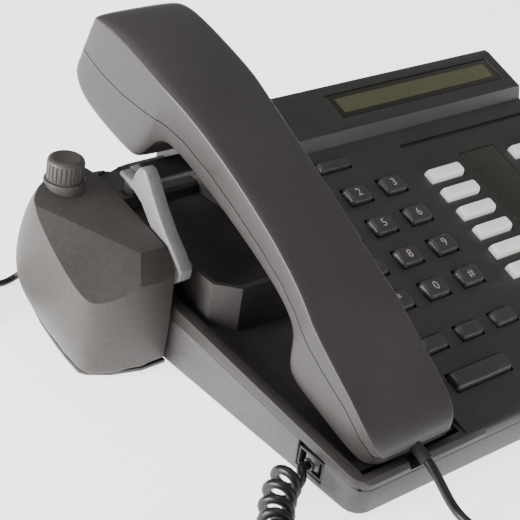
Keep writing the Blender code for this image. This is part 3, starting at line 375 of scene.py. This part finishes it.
# ---- modelling helpers --------------------------------------------------------------------------
def pick(*things):
    """Selects only these objects; the last is the active one."""
    for thing in list(bpy.context.selected_objects):
        thing.select_set(False)
    for thing in things:
        thing.select_set(True)
    bpy.context.view_layer.objects.active = things[-1]


def unpick():
    for thing in list(bpy.context.selected_objects):
        thing.select_set(False)


def edit(made, mode):
    pick(made)
    bpy.ops.object.mode_set(mode="EDIT")
    bpy.ops.mesh.select_mode(type=mode)
    bpy.ops.mesh.select_all(action="DESELECT")
    return bmesh.from_edit_mesh(made.data)


def leave_edit(made):
    bpy.ops.mesh.select_all(action="SELECT")
    bpy.ops.mesh.normals_make_consistent(inside=False)
    bpy.ops.object.mode_set(mode="OBJECT")
    return made


def select_where(made, kind, test):
    """In edit mode, selects the vertices, edges or faces that pass a test on their place."""
    shape = bmesh.from_edit_mesh(made.data)
    bpy.ops.mesh.select_all(action="DESELECT")
    for item in getattr(shape, kind):
        if test(item):
            item.select_set(True)
    shape.select_flush_mode()
    bmesh.update_edit_mesh(made.data)


def middle(item):
    return sum((vert.co for vert in item.verts), Vector()) / len(item.verts)


def apply_modifiers(made):
    pick(made)
    for modifier in list(made.modifiers):
        bpy.ops.object.modifier_apply(modifier=modifier.name)


def soften(made, width, segments=3, angle=32.0):
    """Rounds every edge sharper than an angle, as a mould's edges are."""
    bevel = made.modifiers.new("soft_edges", "BEVEL")
    bevel.width = width
    bevel.segments = segments
    bevel.limit_method = "ANGLE"
    bevel.angle_limit = math.radians(angle)
    bevel.use_clamp_overlap = True
    apply_modifiers(made)
    smooth(made, 38.0)


def smooth(made, angle):
    pick(made)
    bpy.ops.object.shade_smooth_by_angle(angle=math.radians(angle))


def subdivide(made, levels):
    surface = made.modifiers.new("surface", "SUBSURF")
    surface.levels = levels
    surface.render_levels = levels
    apply_modifiers(made)
    smooth(made, 50.0)


def cut_out(made, cutter):
    """Cuts one closed piece from another, then removes the cutter."""
    boolean = made.modifiers.new("cut", "BOOLEAN")
    boolean.operation = "DIFFERENCE"
    boolean.solver = "EXACT"
    boolean.object = cutter
    apply_modifiers(made)
    bpy.data.objects.remove(cutter, do_unlink=True)


def settle(made, matrix):
    """Places a piece and applies the place to its mesh, so that its object sits at the origin."""
    made.matrix_world = matrix
    pick(made)
    bpy.ops.object.transform_apply(location=True, rotation=True, scale=True)


def dress(made, name, material, body, slot, *replaced):
    made.name = name
    made.data.name = name
    made.data.materials.clear()
    made.data.materials.append(material)
    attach(made, body)
    if replaced:
        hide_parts(*replaced)
    unpick()
    return made


def block(low, high, bevel=0.0, segments=3):
    """A block between two corners, its edges rounded."""
    unpick()
    low, high = Vector(low), Vector(high)
    bpy.ops.mesh.primitive_cube_add(size=1, location=(low + high) / 2, scale=high - low)
    made = bpy.context.object
    bpy.ops.object.transform_apply(location=True, rotation=True, scale=True)
    if bevel:
        bpy.ops.object.mode_set(mode="EDIT")
        bpy.ops.mesh.select_all(action="SELECT")
        bpy.ops.mesh.bevel(offset=bevel, segments=segments, affect="EDGES")
        bpy.ops.object.mode_set(mode="OBJECT")
        smooth(made, 40.0)
    return made


def disc(radius, depth, steps=40):
    """A round block standing on the origin along Z."""
    unpick()
    bpy.ops.mesh.primitive_cylinder_add(vertices=steps, radius=radius, depth=depth,
                                        location=(0, 0, depth / 2))
    made = bpy.context.object
    bpy.ops.object.transform_apply(location=True, rotation=True, scale=True)
    return made


def round_rim(made, height, width, segments):
    """Rounds a disc's rim at a height, and leaves the disc in edit mode."""
    edit(made, "EDGE")
    select_where(made, "edges", lambda edge: all(abs(vert.co.z - height) < 1e-6 for vert in edge.verts))
    bpy.ops.mesh.bevel(offset=width, segments=segments, affect="EDGES")


def copy_node(node):
    """A copy of a CAD solid with its own mesh, its shared points merged and its flat facets joined."""
    pick(nodes[node])
    bpy.ops.object.duplicate()
    made = bpy.context.object
    for key in [key for key in made.keys() if key.startswith("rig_")]:
        del made[key]
    place = made.matrix_world.copy()
    made.parent = None
    made.matrix_world = place
    edit(made, "FACE")
    bpy.ops.mesh.select_all(action="SELECT")
    bpy.ops.mesh.remove_doubles(threshold=0.00001)
    bpy.ops.mesh.dissolve_limited(angle_limit=math.radians(0.6))
    return leave_edit(made)


# ---- places -------------------------------------------------------------------------------------
FACE_PLACE = Matrix.Translation(at((0, 0, FACE_FRONT))) @ Matrix.Rotation(FACE_ANGLE, 4, "X")
HANDSET_PLACE = Matrix.Translation(at((0.0313, 0.0120, 0.0160))) @ Matrix.Rotation(HANDSET_TILT, 4, "X")


# ---- base ---------------------------------------------------------------------------------------
def base_shells():
    """Upper and lower shell: the frame's own shapes with moulded edges, a groove and slots."""
    cover = copy_node("base_cover")
    groove = block((0.1390, 0.1392, -0.0011), (0.2400, 0.1414, 0.0100))
    settle(groove, FACE_PLACE)
    cut_out(cover, groove)
    soften(cover, 0.0006, 2)
    dress(cover, "upper_shell", abs_shell, "phone_base", "shell", "base_cover")
    tray = copy_node("base_tray")
    soften(tray, 0.0006, 2)
    dress(tray, "lower_shell", abs_painted_lit_sides, "phone_base", "shell_under", "base_tray")


def local_box(node):
    """A node's box in the key face's own frame."""
    turned = FACE_PLACE.inverted()
    points = [turned @ (nodes[node].matrix_world @ vert.co) for vert in nodes[node].data.vertices]
    return (Vector([min(point[axis] for point in points) for axis in range(3)]),
            Vector([max(point[axis] for point in points) for axis in range(3)]))


def key_cap(node, name, material, slot):
    """A key's cap with softened edges, which keeps its own travel."""
    cap = copy_node(node)
    soften(cap, 0.0004, 3)
    dress(cap, name, material, node + "_cap", slot, node)


def keys():
    for number in range(1, 13):
        key_cap("line_key_%02d" % number, "label_key_%02d" % number, glowing_label_cap, "key_white")
    for symbol in ("1", "2", "3", "4", "5", "6", "7", "8", "9", "star", "0", "hash"):
        node = "dial_key_" + symbol
        key_cap(node, "number_key_" + symbol, pbt_key, "key_dark")
        numeral(symbol, node)
    for node in ("hold_key", "transfer_key", "speaker_key", "volume_key", "message_key"):
        key_cap(node, node.replace("_key", "_button"), pbt_key, "key_dark")


def key_top(node):
    """Middle of a key's top, in the key face's own frame."""
    low, high = local_box(node)
    return Vector(((low.x + high.x) / 2, (low.y + high.y) / 2, high.z))


def numeral(symbol, node):
    """The printed digit on a number key, as a thin raised mesh."""
    unpick()
    bpy.ops.object.text_add()
    made = bpy.context.object
    made.data.body = {"star": "*", "hash": "#"}.get(symbol, symbol)
    made.data.size = 0.0058
    made.data.extrude = 0.00003
    made.data.align_x = "CENTER"
    made.data.align_y = "CENTER"
    bpy.ops.object.convert(target="MESH")
    made = bpy.context.object
    settle(made, FACE_PLACE @ Matrix.Translation(key_top(node) + Vector((0, 0, 0.00002))))
    edit(made, "FACE")
    leave_edit(made)
    dress(made, "printed_" + symbol, print_white, node + "_cap", "key_white")


def displays():
    window = copy_node("display_window")
    soften(window, 0.0005, 3)
    dress(window, "display_lens", display_lens, "phone_base", "display_window", "display_window")
    low, high = local_box("display_window")
    side, edge, sunk, proud = 0.0040, 0.0028, 0.0003, 0.00006     # the screen's margins, foot and top
    screen = block((low.x + side, low.y + edge, high.z - sunk),
                   (high.x - side, high.y - edge, high.z + proud), 0.00005, 1)
    settle(screen, FACE_PLACE)
    dress(screen, "display_screen", liquid_crystal, "phone_base", "display_window")
    status = copy_node("status_window")
    soften(status, 0.0004, 3)
    dress(status, "status_lens", status_lens, "phone_base", "status_window", "status_window")


def softened_copies():
    """Small pieces that keep the frame's shape, with moulded or turned edges."""
    for node, name, material, body, slot, width in (
            ("hook_plunger", "hook_bar", pbt_key, "hook_bar", "key_dark", 0.0005),
            ("handset_jack", "handset_socket", nylon_black, "phone_base", "inner_black", 0.0002),
            ("line_jack", "line_socket_frame", nylon_black, "phone_base", "inner_black", 0.0002),
            ("base_plug", "handset_cord_plug", clear_plug, "phone_base", "plug_clear", 0.0002),
            ("lifter_base_plate", "lifter_foot", abs_lifter, "phone_base", "lifter_shell", 0.0003),
            ("pivot_pin", "pivot_axle", steel_turned, "phone_base", "steel", 0.0003),
            ("lift_pad", "lever_pad", soft_rubber, "lift_arm", "rubber", 0.0002),
            ("lifter_lead_plug", "lead_connector", nylon_black, "phone_base", "inner_black", 0.0003),
            ("front_foot", "foot_strip_front", soft_rubber, "phone_base", "rubber", 0.0002),
            ("rear_foot", "foot_strip_rear", soft_rubber, "phone_base", "rubber", 0.0002)):
        made = copy_node(node)
        soften(made, width, 3)
        dress(made, name, material, body, slot, node)


# ---- handset ------------------------------------------------------------------------------------
HANDSET_HALF = 0.0230
SEAM = 0.0002                      # half the gap of the parting line
FIRST_SLICE = 0.0004               # block that the rest is drawn out from
# Cage stations along the handset: distance, underside, parting line, top, narrowing of the side
STATIONS = (
    (-0.0058, 0.0038, 0.0072, 0.0088, 0.0050), (-0.0030, 0.0010, 0.0080, 0.0122, 0.0012),
    (0.0040, -0.0004, 0.0100, 0.0154, 0.0000), (0.0160, -0.0014, 0.0132, 0.0192, 0.0000),
    (0.0330, -0.0026, 0.0155, 0.0232, 0.0000), (0.0435, -0.0030, 0.0176, 0.0262, 0.0000),
    (0.0480, 0.0030, 0.0190, 0.0274, 0.0003), (0.0510, 0.0125, 0.0198, 0.0282, 0.0008),
    (0.0570, 0.0165, 0.0212, 0.0298, 0.0017), (0.0680, 0.0186, 0.0235, 0.0324, 0.0026),
    (0.0850, 0.0200, 0.0258, 0.0356, 0.0030), (0.1040, 0.0208, 0.0275, 0.0382, 0.0030),
    (0.1230, 0.0214, 0.0286, 0.0400, 0.0027), (0.1400, 0.0216, 0.0286, 0.0412, 0.0018),
    (0.1500, 0.0206, 0.0275, 0.0416, 0.0008), (0.1548, 0.0120, 0.0262, 0.0417, 0.0004),
    (0.1575, -0.0004, 0.0250, 0.0417, 0.0000), (0.1660, -0.0028, 0.0222, 0.0415, -0.0002),
    (0.1800, -0.0044, 0.0180, 0.0408, -0.0002), (0.1930, -0.0052, 0.0160, 0.0394, -0.0002),
    (0.2020, -0.0044, 0.0154, 0.0378, -0.0001), (0.2095, -0.0005, 0.0152, 0.0350, 0.0004),
    (0.2138, 0.0050, 0.0150, 0.0305, 0.0025))


def handset_half(name, upper, rounding):
    """Half of the handset's shell: a block whose end is drawn out from station to station."""
    sign = 1 if upper else -1

    def section(station):
        u, under, parting, top, narrowing = station
        seam = parting + sign * SEAM
        return u, seam, HANDSET_HALF - narrowing, abs((top if upper else under) - seam)

    u, seam, half, deep = section(STATIONS[0])
    outer = seam + sign * deep
    made = block((-half, u - FIRST_SLICE, min(seam, outer)), (half, u, max(seam, outer)))
    edit(made, "EDGE")
    select_where(made, "edges", lambda edge: abs(middle(edge).z - outer) < 1e-6 and
                 abs(middle(edge).x) > half * 0.9)
    bpy.ops.mesh.bevel(offset=deep * rounding, segments=2, affect="EDGES")
    bpy.ops.mesh.select_mode(type="FACE")
    select_where(made, "faces", lambda face: face.normal.y > 0.9)
    for station in STATIONS[1:]:
        next_u, next_seam, next_half, next_deep = section(station)
        bpy.ops.mesh.extrude_region_move(TRANSFORM_OT_translate={"value": (0, next_u - u, next_seam - seam)})
        bpy.ops.transform.resize(value=(next_half / half, 1, next_deep / deep),
                                 center_override=(0, next_u, next_seam))
        u, seam, half, deep = next_u, next_seam, next_half, next_deep
    bpy.ops.mesh.select_mode(type="EDGE")
    seams = {round(section(station)[0], 5): section(station)[1] for station in STATIONS}
    seams[round(STATIONS[0][0] - FIRST_SLICE, 5)] = section(STATIONS[0])[1]

    def on_seam(vert):
        return abs(vert.co.z - seams.get(round(vert.co.y, 5), 9.0)) < 1e-5
    select_where(made, "edges", lambda edge: all(on_seam(vert) for vert in edge.verts))
    bpy.ops.transform.edge_crease(value=1.0)
    leave_edit(made)
    subdivide(made, 3)
    settle(made, HANDSET_PLACE)
    node = "handset_back" if upper else "handset_front"
    return dress(made, name, abs_handset, "handset", "handset_shell", node)


def grille(name, place, radius, low, high, holes):
    """Round grille on the handset's underside, with a ring of sound holes and one in the middle."""
    made = disc(radius, high - low, 40)
    round_rim(made, 0.0, 0.0003, 2)
    leave_edit(made)
    ring, hole_radius, hole_length, hole_foot = radius * 0.6, 0.0008, 0.0009, -0.0003
    for index in range(holes + 1):
        turn = 2 * math.pi * index / holes
        reach = ring if index < holes else 0.0
        hole = disc(hole_radius, hole_length, 12)
        settle(hole, Matrix.Translation((reach * math.cos(turn), reach * math.sin(turn), hole_foot)))
        cut_out(made, hole)
    smooth(made, 35.0)
    settle(made, HANDSET_PLACE @ Matrix.Translation((0, place, low)))
    dress(made, name, abs_handset, "handset", "handset_shell")


def sleeve(name, start, end, radius, body):
    """Ribbed strain relief round a cord, from one point to another."""
    along = end - start
    tip, waist = 0.86, 0.88                      # shares of the radius
    grooves = ((0.30, 0.42), (0.58, 0.70))       # shares of the length
    unpick()
    bpy.ops.mesh.primitive_cone_add(vertices=28, radius1=radius * tip, radius2=radius, depth=along.length,
                                    location=(0, 0, along.length / 2))
    made = bpy.context.object
    bpy.ops.object.transform_apply(location=True, rotation=True, scale=True)
    edit(made, "FACE")
    for share in sum(grooves, ()):
        bpy.ops.mesh.select_all(action="SELECT")
        bpy.ops.mesh.bisect(plane_co=(0, 0, along.length * share), plane_no=(0, 0, 1))
    for low, high in grooves:
        select_where(made, "faces", lambda face: low < middle(face).z / along.length < high)
        bpy.ops.transform.resize(value=(waist, waist, 1),
                                 center_override=(0, 0, along.length * (low + high) / 2))
    leave_edit(made)
    soften(made, 0.0002, 2, 30.0)
    settle(made, Matrix.Translation(start) @ along.to_track_quat("Z", "Y").to_matrix().to_4x4())
    dress(made, name, soft_rubber, body, "rubber")


SCREW_PLACES = ((0.0300, 0.0400), (0.2000, 0.0400), (0.0300, 0.1700), (0.2000, 0.1700))


def tray_screws():
    """Four cross-head screws in the base's underside."""
    head_radius, head_height, sunk = 0.0027, 0.0012, 0.0004
    for index, (x, y) in enumerate(SCREW_PLACES, 1):
        made = disc(head_radius, head_height, 28)
        round_rim(made, 0.0, 0.0004, 3)
        leave_edit(made)
        for turn in (0.0, math.pi / 2):
            slot = block((-0.0015, -0.0003, -0.0010), (0.0015, 0.0003, 0.0004))
            settle(slot, Matrix.Rotation(turn, 4, "Z"))
            cut_out(made, slot)
        smooth(made, 35.0)
        settle(made, Matrix.Translation(at((x, y, sunk))))
        dress(made, "tray_screw_%d" % index, steel_turned, "phone_base", "steel")


# ---- lifter -------------------------------------------------------------------------------------
# Housing's outline from its front right corner, round the left, to its back right corner:
# at the desk, at its widest, and high up where the top is cut off
HOUSING = (
    ((-0.0008, 0.1150), (-0.0008, 0.1140), (-0.0008, 0.1165)),
    ((-0.0130, 0.1146), (-0.0130, 0.1132), (-0.0130, 0.1160)),
    ((-0.0260, 0.1164), (-0.0268, 0.1150), (-0.0260, 0.1176)),
    ((-0.0352, 0.1200), (-0.0368, 0.1190), (-0.0362, 0.1212)),
    ((-0.0374, 0.1250), (-0.0398, 0.1245), (-0.0392, 0.1260)),
    ((-0.0358, 0.1380), (-0.0410, 0.1385), (-0.0404, 0.1380)),
    ((-0.0330, 0.1540), (-0.0406, 0.1560), (-0.0402, 0.1540)),
    ((-0.0292, 0.1700), (-0.0392, 0.1720), (-0.0386, 0.1610)),
    ((-0.0228, 0.1850), (-0.0305, 0.1885), (-0.0292, 0.1650)),
    ((-0.0125, 0.1945), (-0.0162, 0.2000), (-0.0155, 0.1700)),
    ((-0.0008, 0.1960), (-0.0008, 0.2012), (-0.0008, 0.1760)))
HOUSING_LOW = 0.0023
HOUSING_MIDDLE = 0.0250
HOUSING_HIGH = 0.0760
SWELL = 0.25                       # how far the rings in between bulge out, as a share
TOP_SLOPE = math.radians(13.2)     # of the top, rising to the back
TOP_FRONT = (-0.0030, 0.1210, 0.0510)
SHOULDER_SLOPE = math.radians(42.0)    # of the shoulder over the front
SHOULDER_FRONT = (-0.0100, 0.1155, 0.0440)
# Three points of the facet that falls to the front left corner
FACET = ((-0.0370, 0.1240, 0.0392), (-0.0400, 0.1640, 0.0610), (-0.0130, 0.1210, 0.0500))


def drawn_up(rings):
    """A closed form drawn up from a circle, ring by ring, its points moved into place one by one."""
    unpick()
    bpy.ops.mesh.primitive_circle_add(vertices=len(rings[0]), radius=0.03, fill_type="NGON")
    made = bpy.context.object
    shape = edit(made, "VERT")
    before = [vert.co.copy() for vert in shape.verts]
    for level, ring in enumerate(rings):
        bpy.ops.mesh.select_mode(type="FACE")
        select_where(made, "faces", lambda face: len(face.verts) == len(ring) and near_ring(face, before))
        if level:
            bpy.ops.mesh.extrude_region_move(TRANSFORM_OT_translate={"value": (0, 0, 0.2)})
            before = [point + Vector((0, 0, 0.2)) for point in before]
        bpy.ops.mesh.select_mode(type="VERT")
        for start, target in zip(before, ring):
            select_where(made, "verts", lambda vert: (vert.co - start).length < 1e-5)
            bpy.ops.transform.translate(value=target - start)
        before = [point.copy() for point in ring]
    return leave_edit(made)


def near_ring(face, ring):
    return all(min((vert.co - point).length for point in ring) < 1e-5 for vert in face.verts)


def housing_rings():
    low = [at((*place, HOUSING_LOW)) for place, _, _ in HOUSING]
    wide = [at((*place, HOUSING_MIDDLE)) for _, place, _ in HOUSING]
    high = [at((*place, HOUSING_HIGH)) for _, _, place in HOUSING]
    between = [a.lerp(b, 0.5) + Vector(((b.x - a.x) * SWELL, (b.y - a.y) * SWELL, 0))
               for a, b in zip(low, wide)]
    upper = [a.lerp(b, 0.5) + Vector(((a.x - b.x) * SWELL, (a.y - b.y) * SWELL, 0))
             for a, b in zip(wide, high)]
    return [low, between, wide, upper, high]


def slice_off(made, point, normal):
    """Cuts off what lies past a plane and closes the cut."""
    edit(made, "FACE")
    bpy.ops.mesh.select_all(action="SELECT")
    bpy.ops.mesh.bisect(plane_co=point, plane_no=normal, use_fill=True, clear_outer=True)
    leave_edit(made)


def lifter_shell():
    """Housing: rounded sides drawn up from the desk, a sloping top and a facet at the front left."""
    made = drawn_up(housing_rings())
    edit(made, "EDGE")
    right = at((-0.0008, 0, 0)).x
    ends = (at((0, 0.1150, 0)).y + 0.004, at((0, 0.1900, 0)).y)
    select_where(made, "edges", lambda edge: abs(edge.verts[0].co.z - edge.verts[1].co.z) > 1e-5 and
                 all(abs(vert.co.x - right) < 1e-5 and not ends[0] < vert.co.y < ends[1]
                     for vert in edge.verts))
    bpy.ops.transform.edge_crease(value=0.8)
    select_where(made, "edges", lambda edge: all(abs(vert.co.z - HOUSING_LOW) < 1e-5 for vert in edge.verts))
    bpy.ops.transform.edge_crease(value=0.9)
    leave_edit(made)
    subdivide(made, 3)
    slice_off(made, at(TOP_FRONT), (0, -math.sin(TOP_SLOPE), math.cos(TOP_SLOPE)))
    slice_off(made, at(SHOULDER_FRONT), (0, -math.sin(SHOULDER_SLOPE), math.cos(SHOULDER_SLOPE)))
    first, second, third = [at(point) for point in FACET]
    facet = (second - first).cross(third - first).normalized()
    slice_off(made, first, facet if facet.z > 0 else -facet)
    soften(made, 0.0024, 5, 18.0)
    dress(made, "lifter_case", abs_lifter, "phone_base", "lifter_shell", "lifter_housing")


def knob_collar():
    """Low round collar on the housing's top, under the knob."""
    radius, high = 0.0088, 0.0060
    collar = disc(radius, high, 40)
    round_rim(collar, high, 0.0008, 3)
    leave_edit(collar)
    smooth(collar, 35.0)
    settle(collar, Matrix.Translation(at((-0.0195, 0.1700, 0.0588))))
    dress(collar, "knob_collar", abs_lifter, "phone_base", "lifter_shell")


# Lever's outline beside the handset: y and z, from the pivot's front round the upper end
LEVER = ((0.1142, 0.0440), (0.1190, 0.0492), (0.1262, 0.0552), (0.1340, 0.0635), (0.1410, 0.0728),
         (0.1442, 0.0762), (0.1476, 0.0758), (0.1500, 0.0722), (0.1520, 0.0672), (0.1600, 0.0686),
         (0.1602, 0.0664), (0.1500, 0.0640), (0.1440, 0.0610), (0.1370, 0.0540), (0.1300, 0.0470),
         (0.1256, 0.0408), (0.1230, 0.0372), (0.1180, 0.0366), (0.1148, 0.0396))


def lever():
    """The lever beside the handset, drawn from its side outline."""
    left, thick = 0.0004, 0.0066
    unpick()
    bpy.ops.mesh.primitive_circle_add(vertices=len(LEVER), radius=0.03, fill_type="NGON")
    made = bpy.context.object
    shape = edit(made, "VERT")
    starts = [vert.co.copy() for vert in shape.verts]
    for start, (y, z) in zip(starts, LEVER):
        select_where(made, "verts", lambda vert: (vert.co - start).length < 1e-6)
        bpy.ops.transform.translate(value=at((left, y, z)) - start)
    bpy.ops.mesh.select_mode(type="FACE")
    bpy.ops.mesh.select_all(action="SELECT")
    bpy.ops.mesh.extrude_region_move(TRANSFORM_OT_translate={"value": (thick, 0, 0)})
    leave_edit(made)
    soften(made, 0.0009, 3, 25.0)
    dress(made, "lifter_lever", nylon_arm, "lift_arm", "arm_grey", "lifter_arm")


def lever_plate():
    """The lever's cross plate, under the handset."""
    slope = math.radians(13.0)
    plate = block((0.0064, 0, -0.0020), (0.0442, 0.0120, 0), 0.0006)
    edit(plate, "FACE")
    leave_edit(plate)
    settle(plate, Matrix.Translation(at((0, 0.1490, 0.0662))) @ Matrix.Rotation(slope, 4, "X"))
    dress(plate, "lever_plate", nylon_arm, "lift_arm", "arm_grey")


def height_knob():
    """Knob on the lifter's top, with finger flutes round its side."""
    box_low, box_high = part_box("lift_dial")
    radius, high = 0.0078, 0.0092
    made = disc(radius, high, 48)
    round_rim(made, high, 0.0020, 4)
    bpy.ops.mesh.select_mode(type="FACE")
    select_where(made, "faces", lambda face: face.normal.z > 0.99)
    bpy.ops.mesh.inset(thickness=0.0012)
    bpy.ops.transform.translate(value=(0, 0, -0.0004))
    leave_edit(made)
    flutes = 24
    for index in range(flutes):
        turn = 2 * math.pi * index / flutes
        groove = disc(0.00045, high - 0.0024, 10)
        settle(groove, Matrix.Translation((radius * math.cos(turn), radius * math.sin(turn), 0.0006)))
        cut_out(made, groove)
    soften(made, 0.0002, 2)
    middle_place = (box_low + box_high) / 2
    settle(made, Matrix.Translation((middle_place.x, middle_place.y, box_low.z - 0.0018)))
    dress(made, "height_knob", abs_lifter, "height_dial", "lifter_shell", "lift_dial")


# ---- desk and inner nodes -----------------------------------------------------------------------
FINISHES = {"shell": abs_shell, "shell_under": abs_painted_lit_sides, "handset_shell": abs_handset, "key_dark": pbt_key,
            "key_white": glowing_label_cap, "rubber": soft_rubber, "inner_black": nylon_black,
            "lifter_shell": abs_lifter, "arm_grey": nylon_arm, "cord_black": pvc_cord,
            "display_window": display_lens,
            "status_window": status_lens, "circuit_board": board_mask, "steel": steel_turned,
            "plug_clear": clear_plug}


def desk():
    """A wide sheet of matte white paper, lit so that it reads as a plain ground."""
    unpick()
    bpy.ops.mesh.primitive_plane_add(size=6.0)
    floor = bpy.context.object
    floor.name = "floor"
    paper, _, shader = new_material("matte_white_paper", 0.9)
    shader.inputs["Base Color"].default_value = linear("#FCFCFC")
    shader.inputs["Emission Color"].default_value = (1.0, 1.0, 1.0, 1.0)
    shader.inputs["Emission Strength"].default_value = 2.1
    floor.data.materials.append(paper)


def finish_inner_nodes():
    """Gives every CAD solid the finish of its slot."""
    for part in frame["record"]["subparts"]:
        mesh = nodes[part["node"]].data
        mesh.materials.clear()
        mesh.materials.append(FINISHES[part["material_slot"]])


# ---- the whole object ---------------------------------------------------------------------------
camera()
studio()
base_shells()
keys()
displays()
softened_copies()
handset_half("handset_shell_back", True, 0.42)
handset_half("handset_shell_front", False, 0.30)
grille("receiver_grille", 0.1800, 0.0120, -0.0047, -0.0030, 8)
grille("microphone_grille", 0.0270, 0.0075, -0.0026, -0.0008, 6)
sleeve("cord_sleeve", at((0.0314, -0.0028, 0.0176)), at((0.0312, 0.0062, 0.0206)), 0.0031, "handset")
sleeve("lead_grommet", at((-0.0200, 0.1945, 0.0063)), at((-0.0200, 0.1885, 0.0066)), 0.0026, "phone_base")
tray_screws()
lifter_shell()
knob_collar()
lever()
lever_plate()
height_knob()
handset_cord()
lifter_cord()

desk()
finish_inner_nodes()
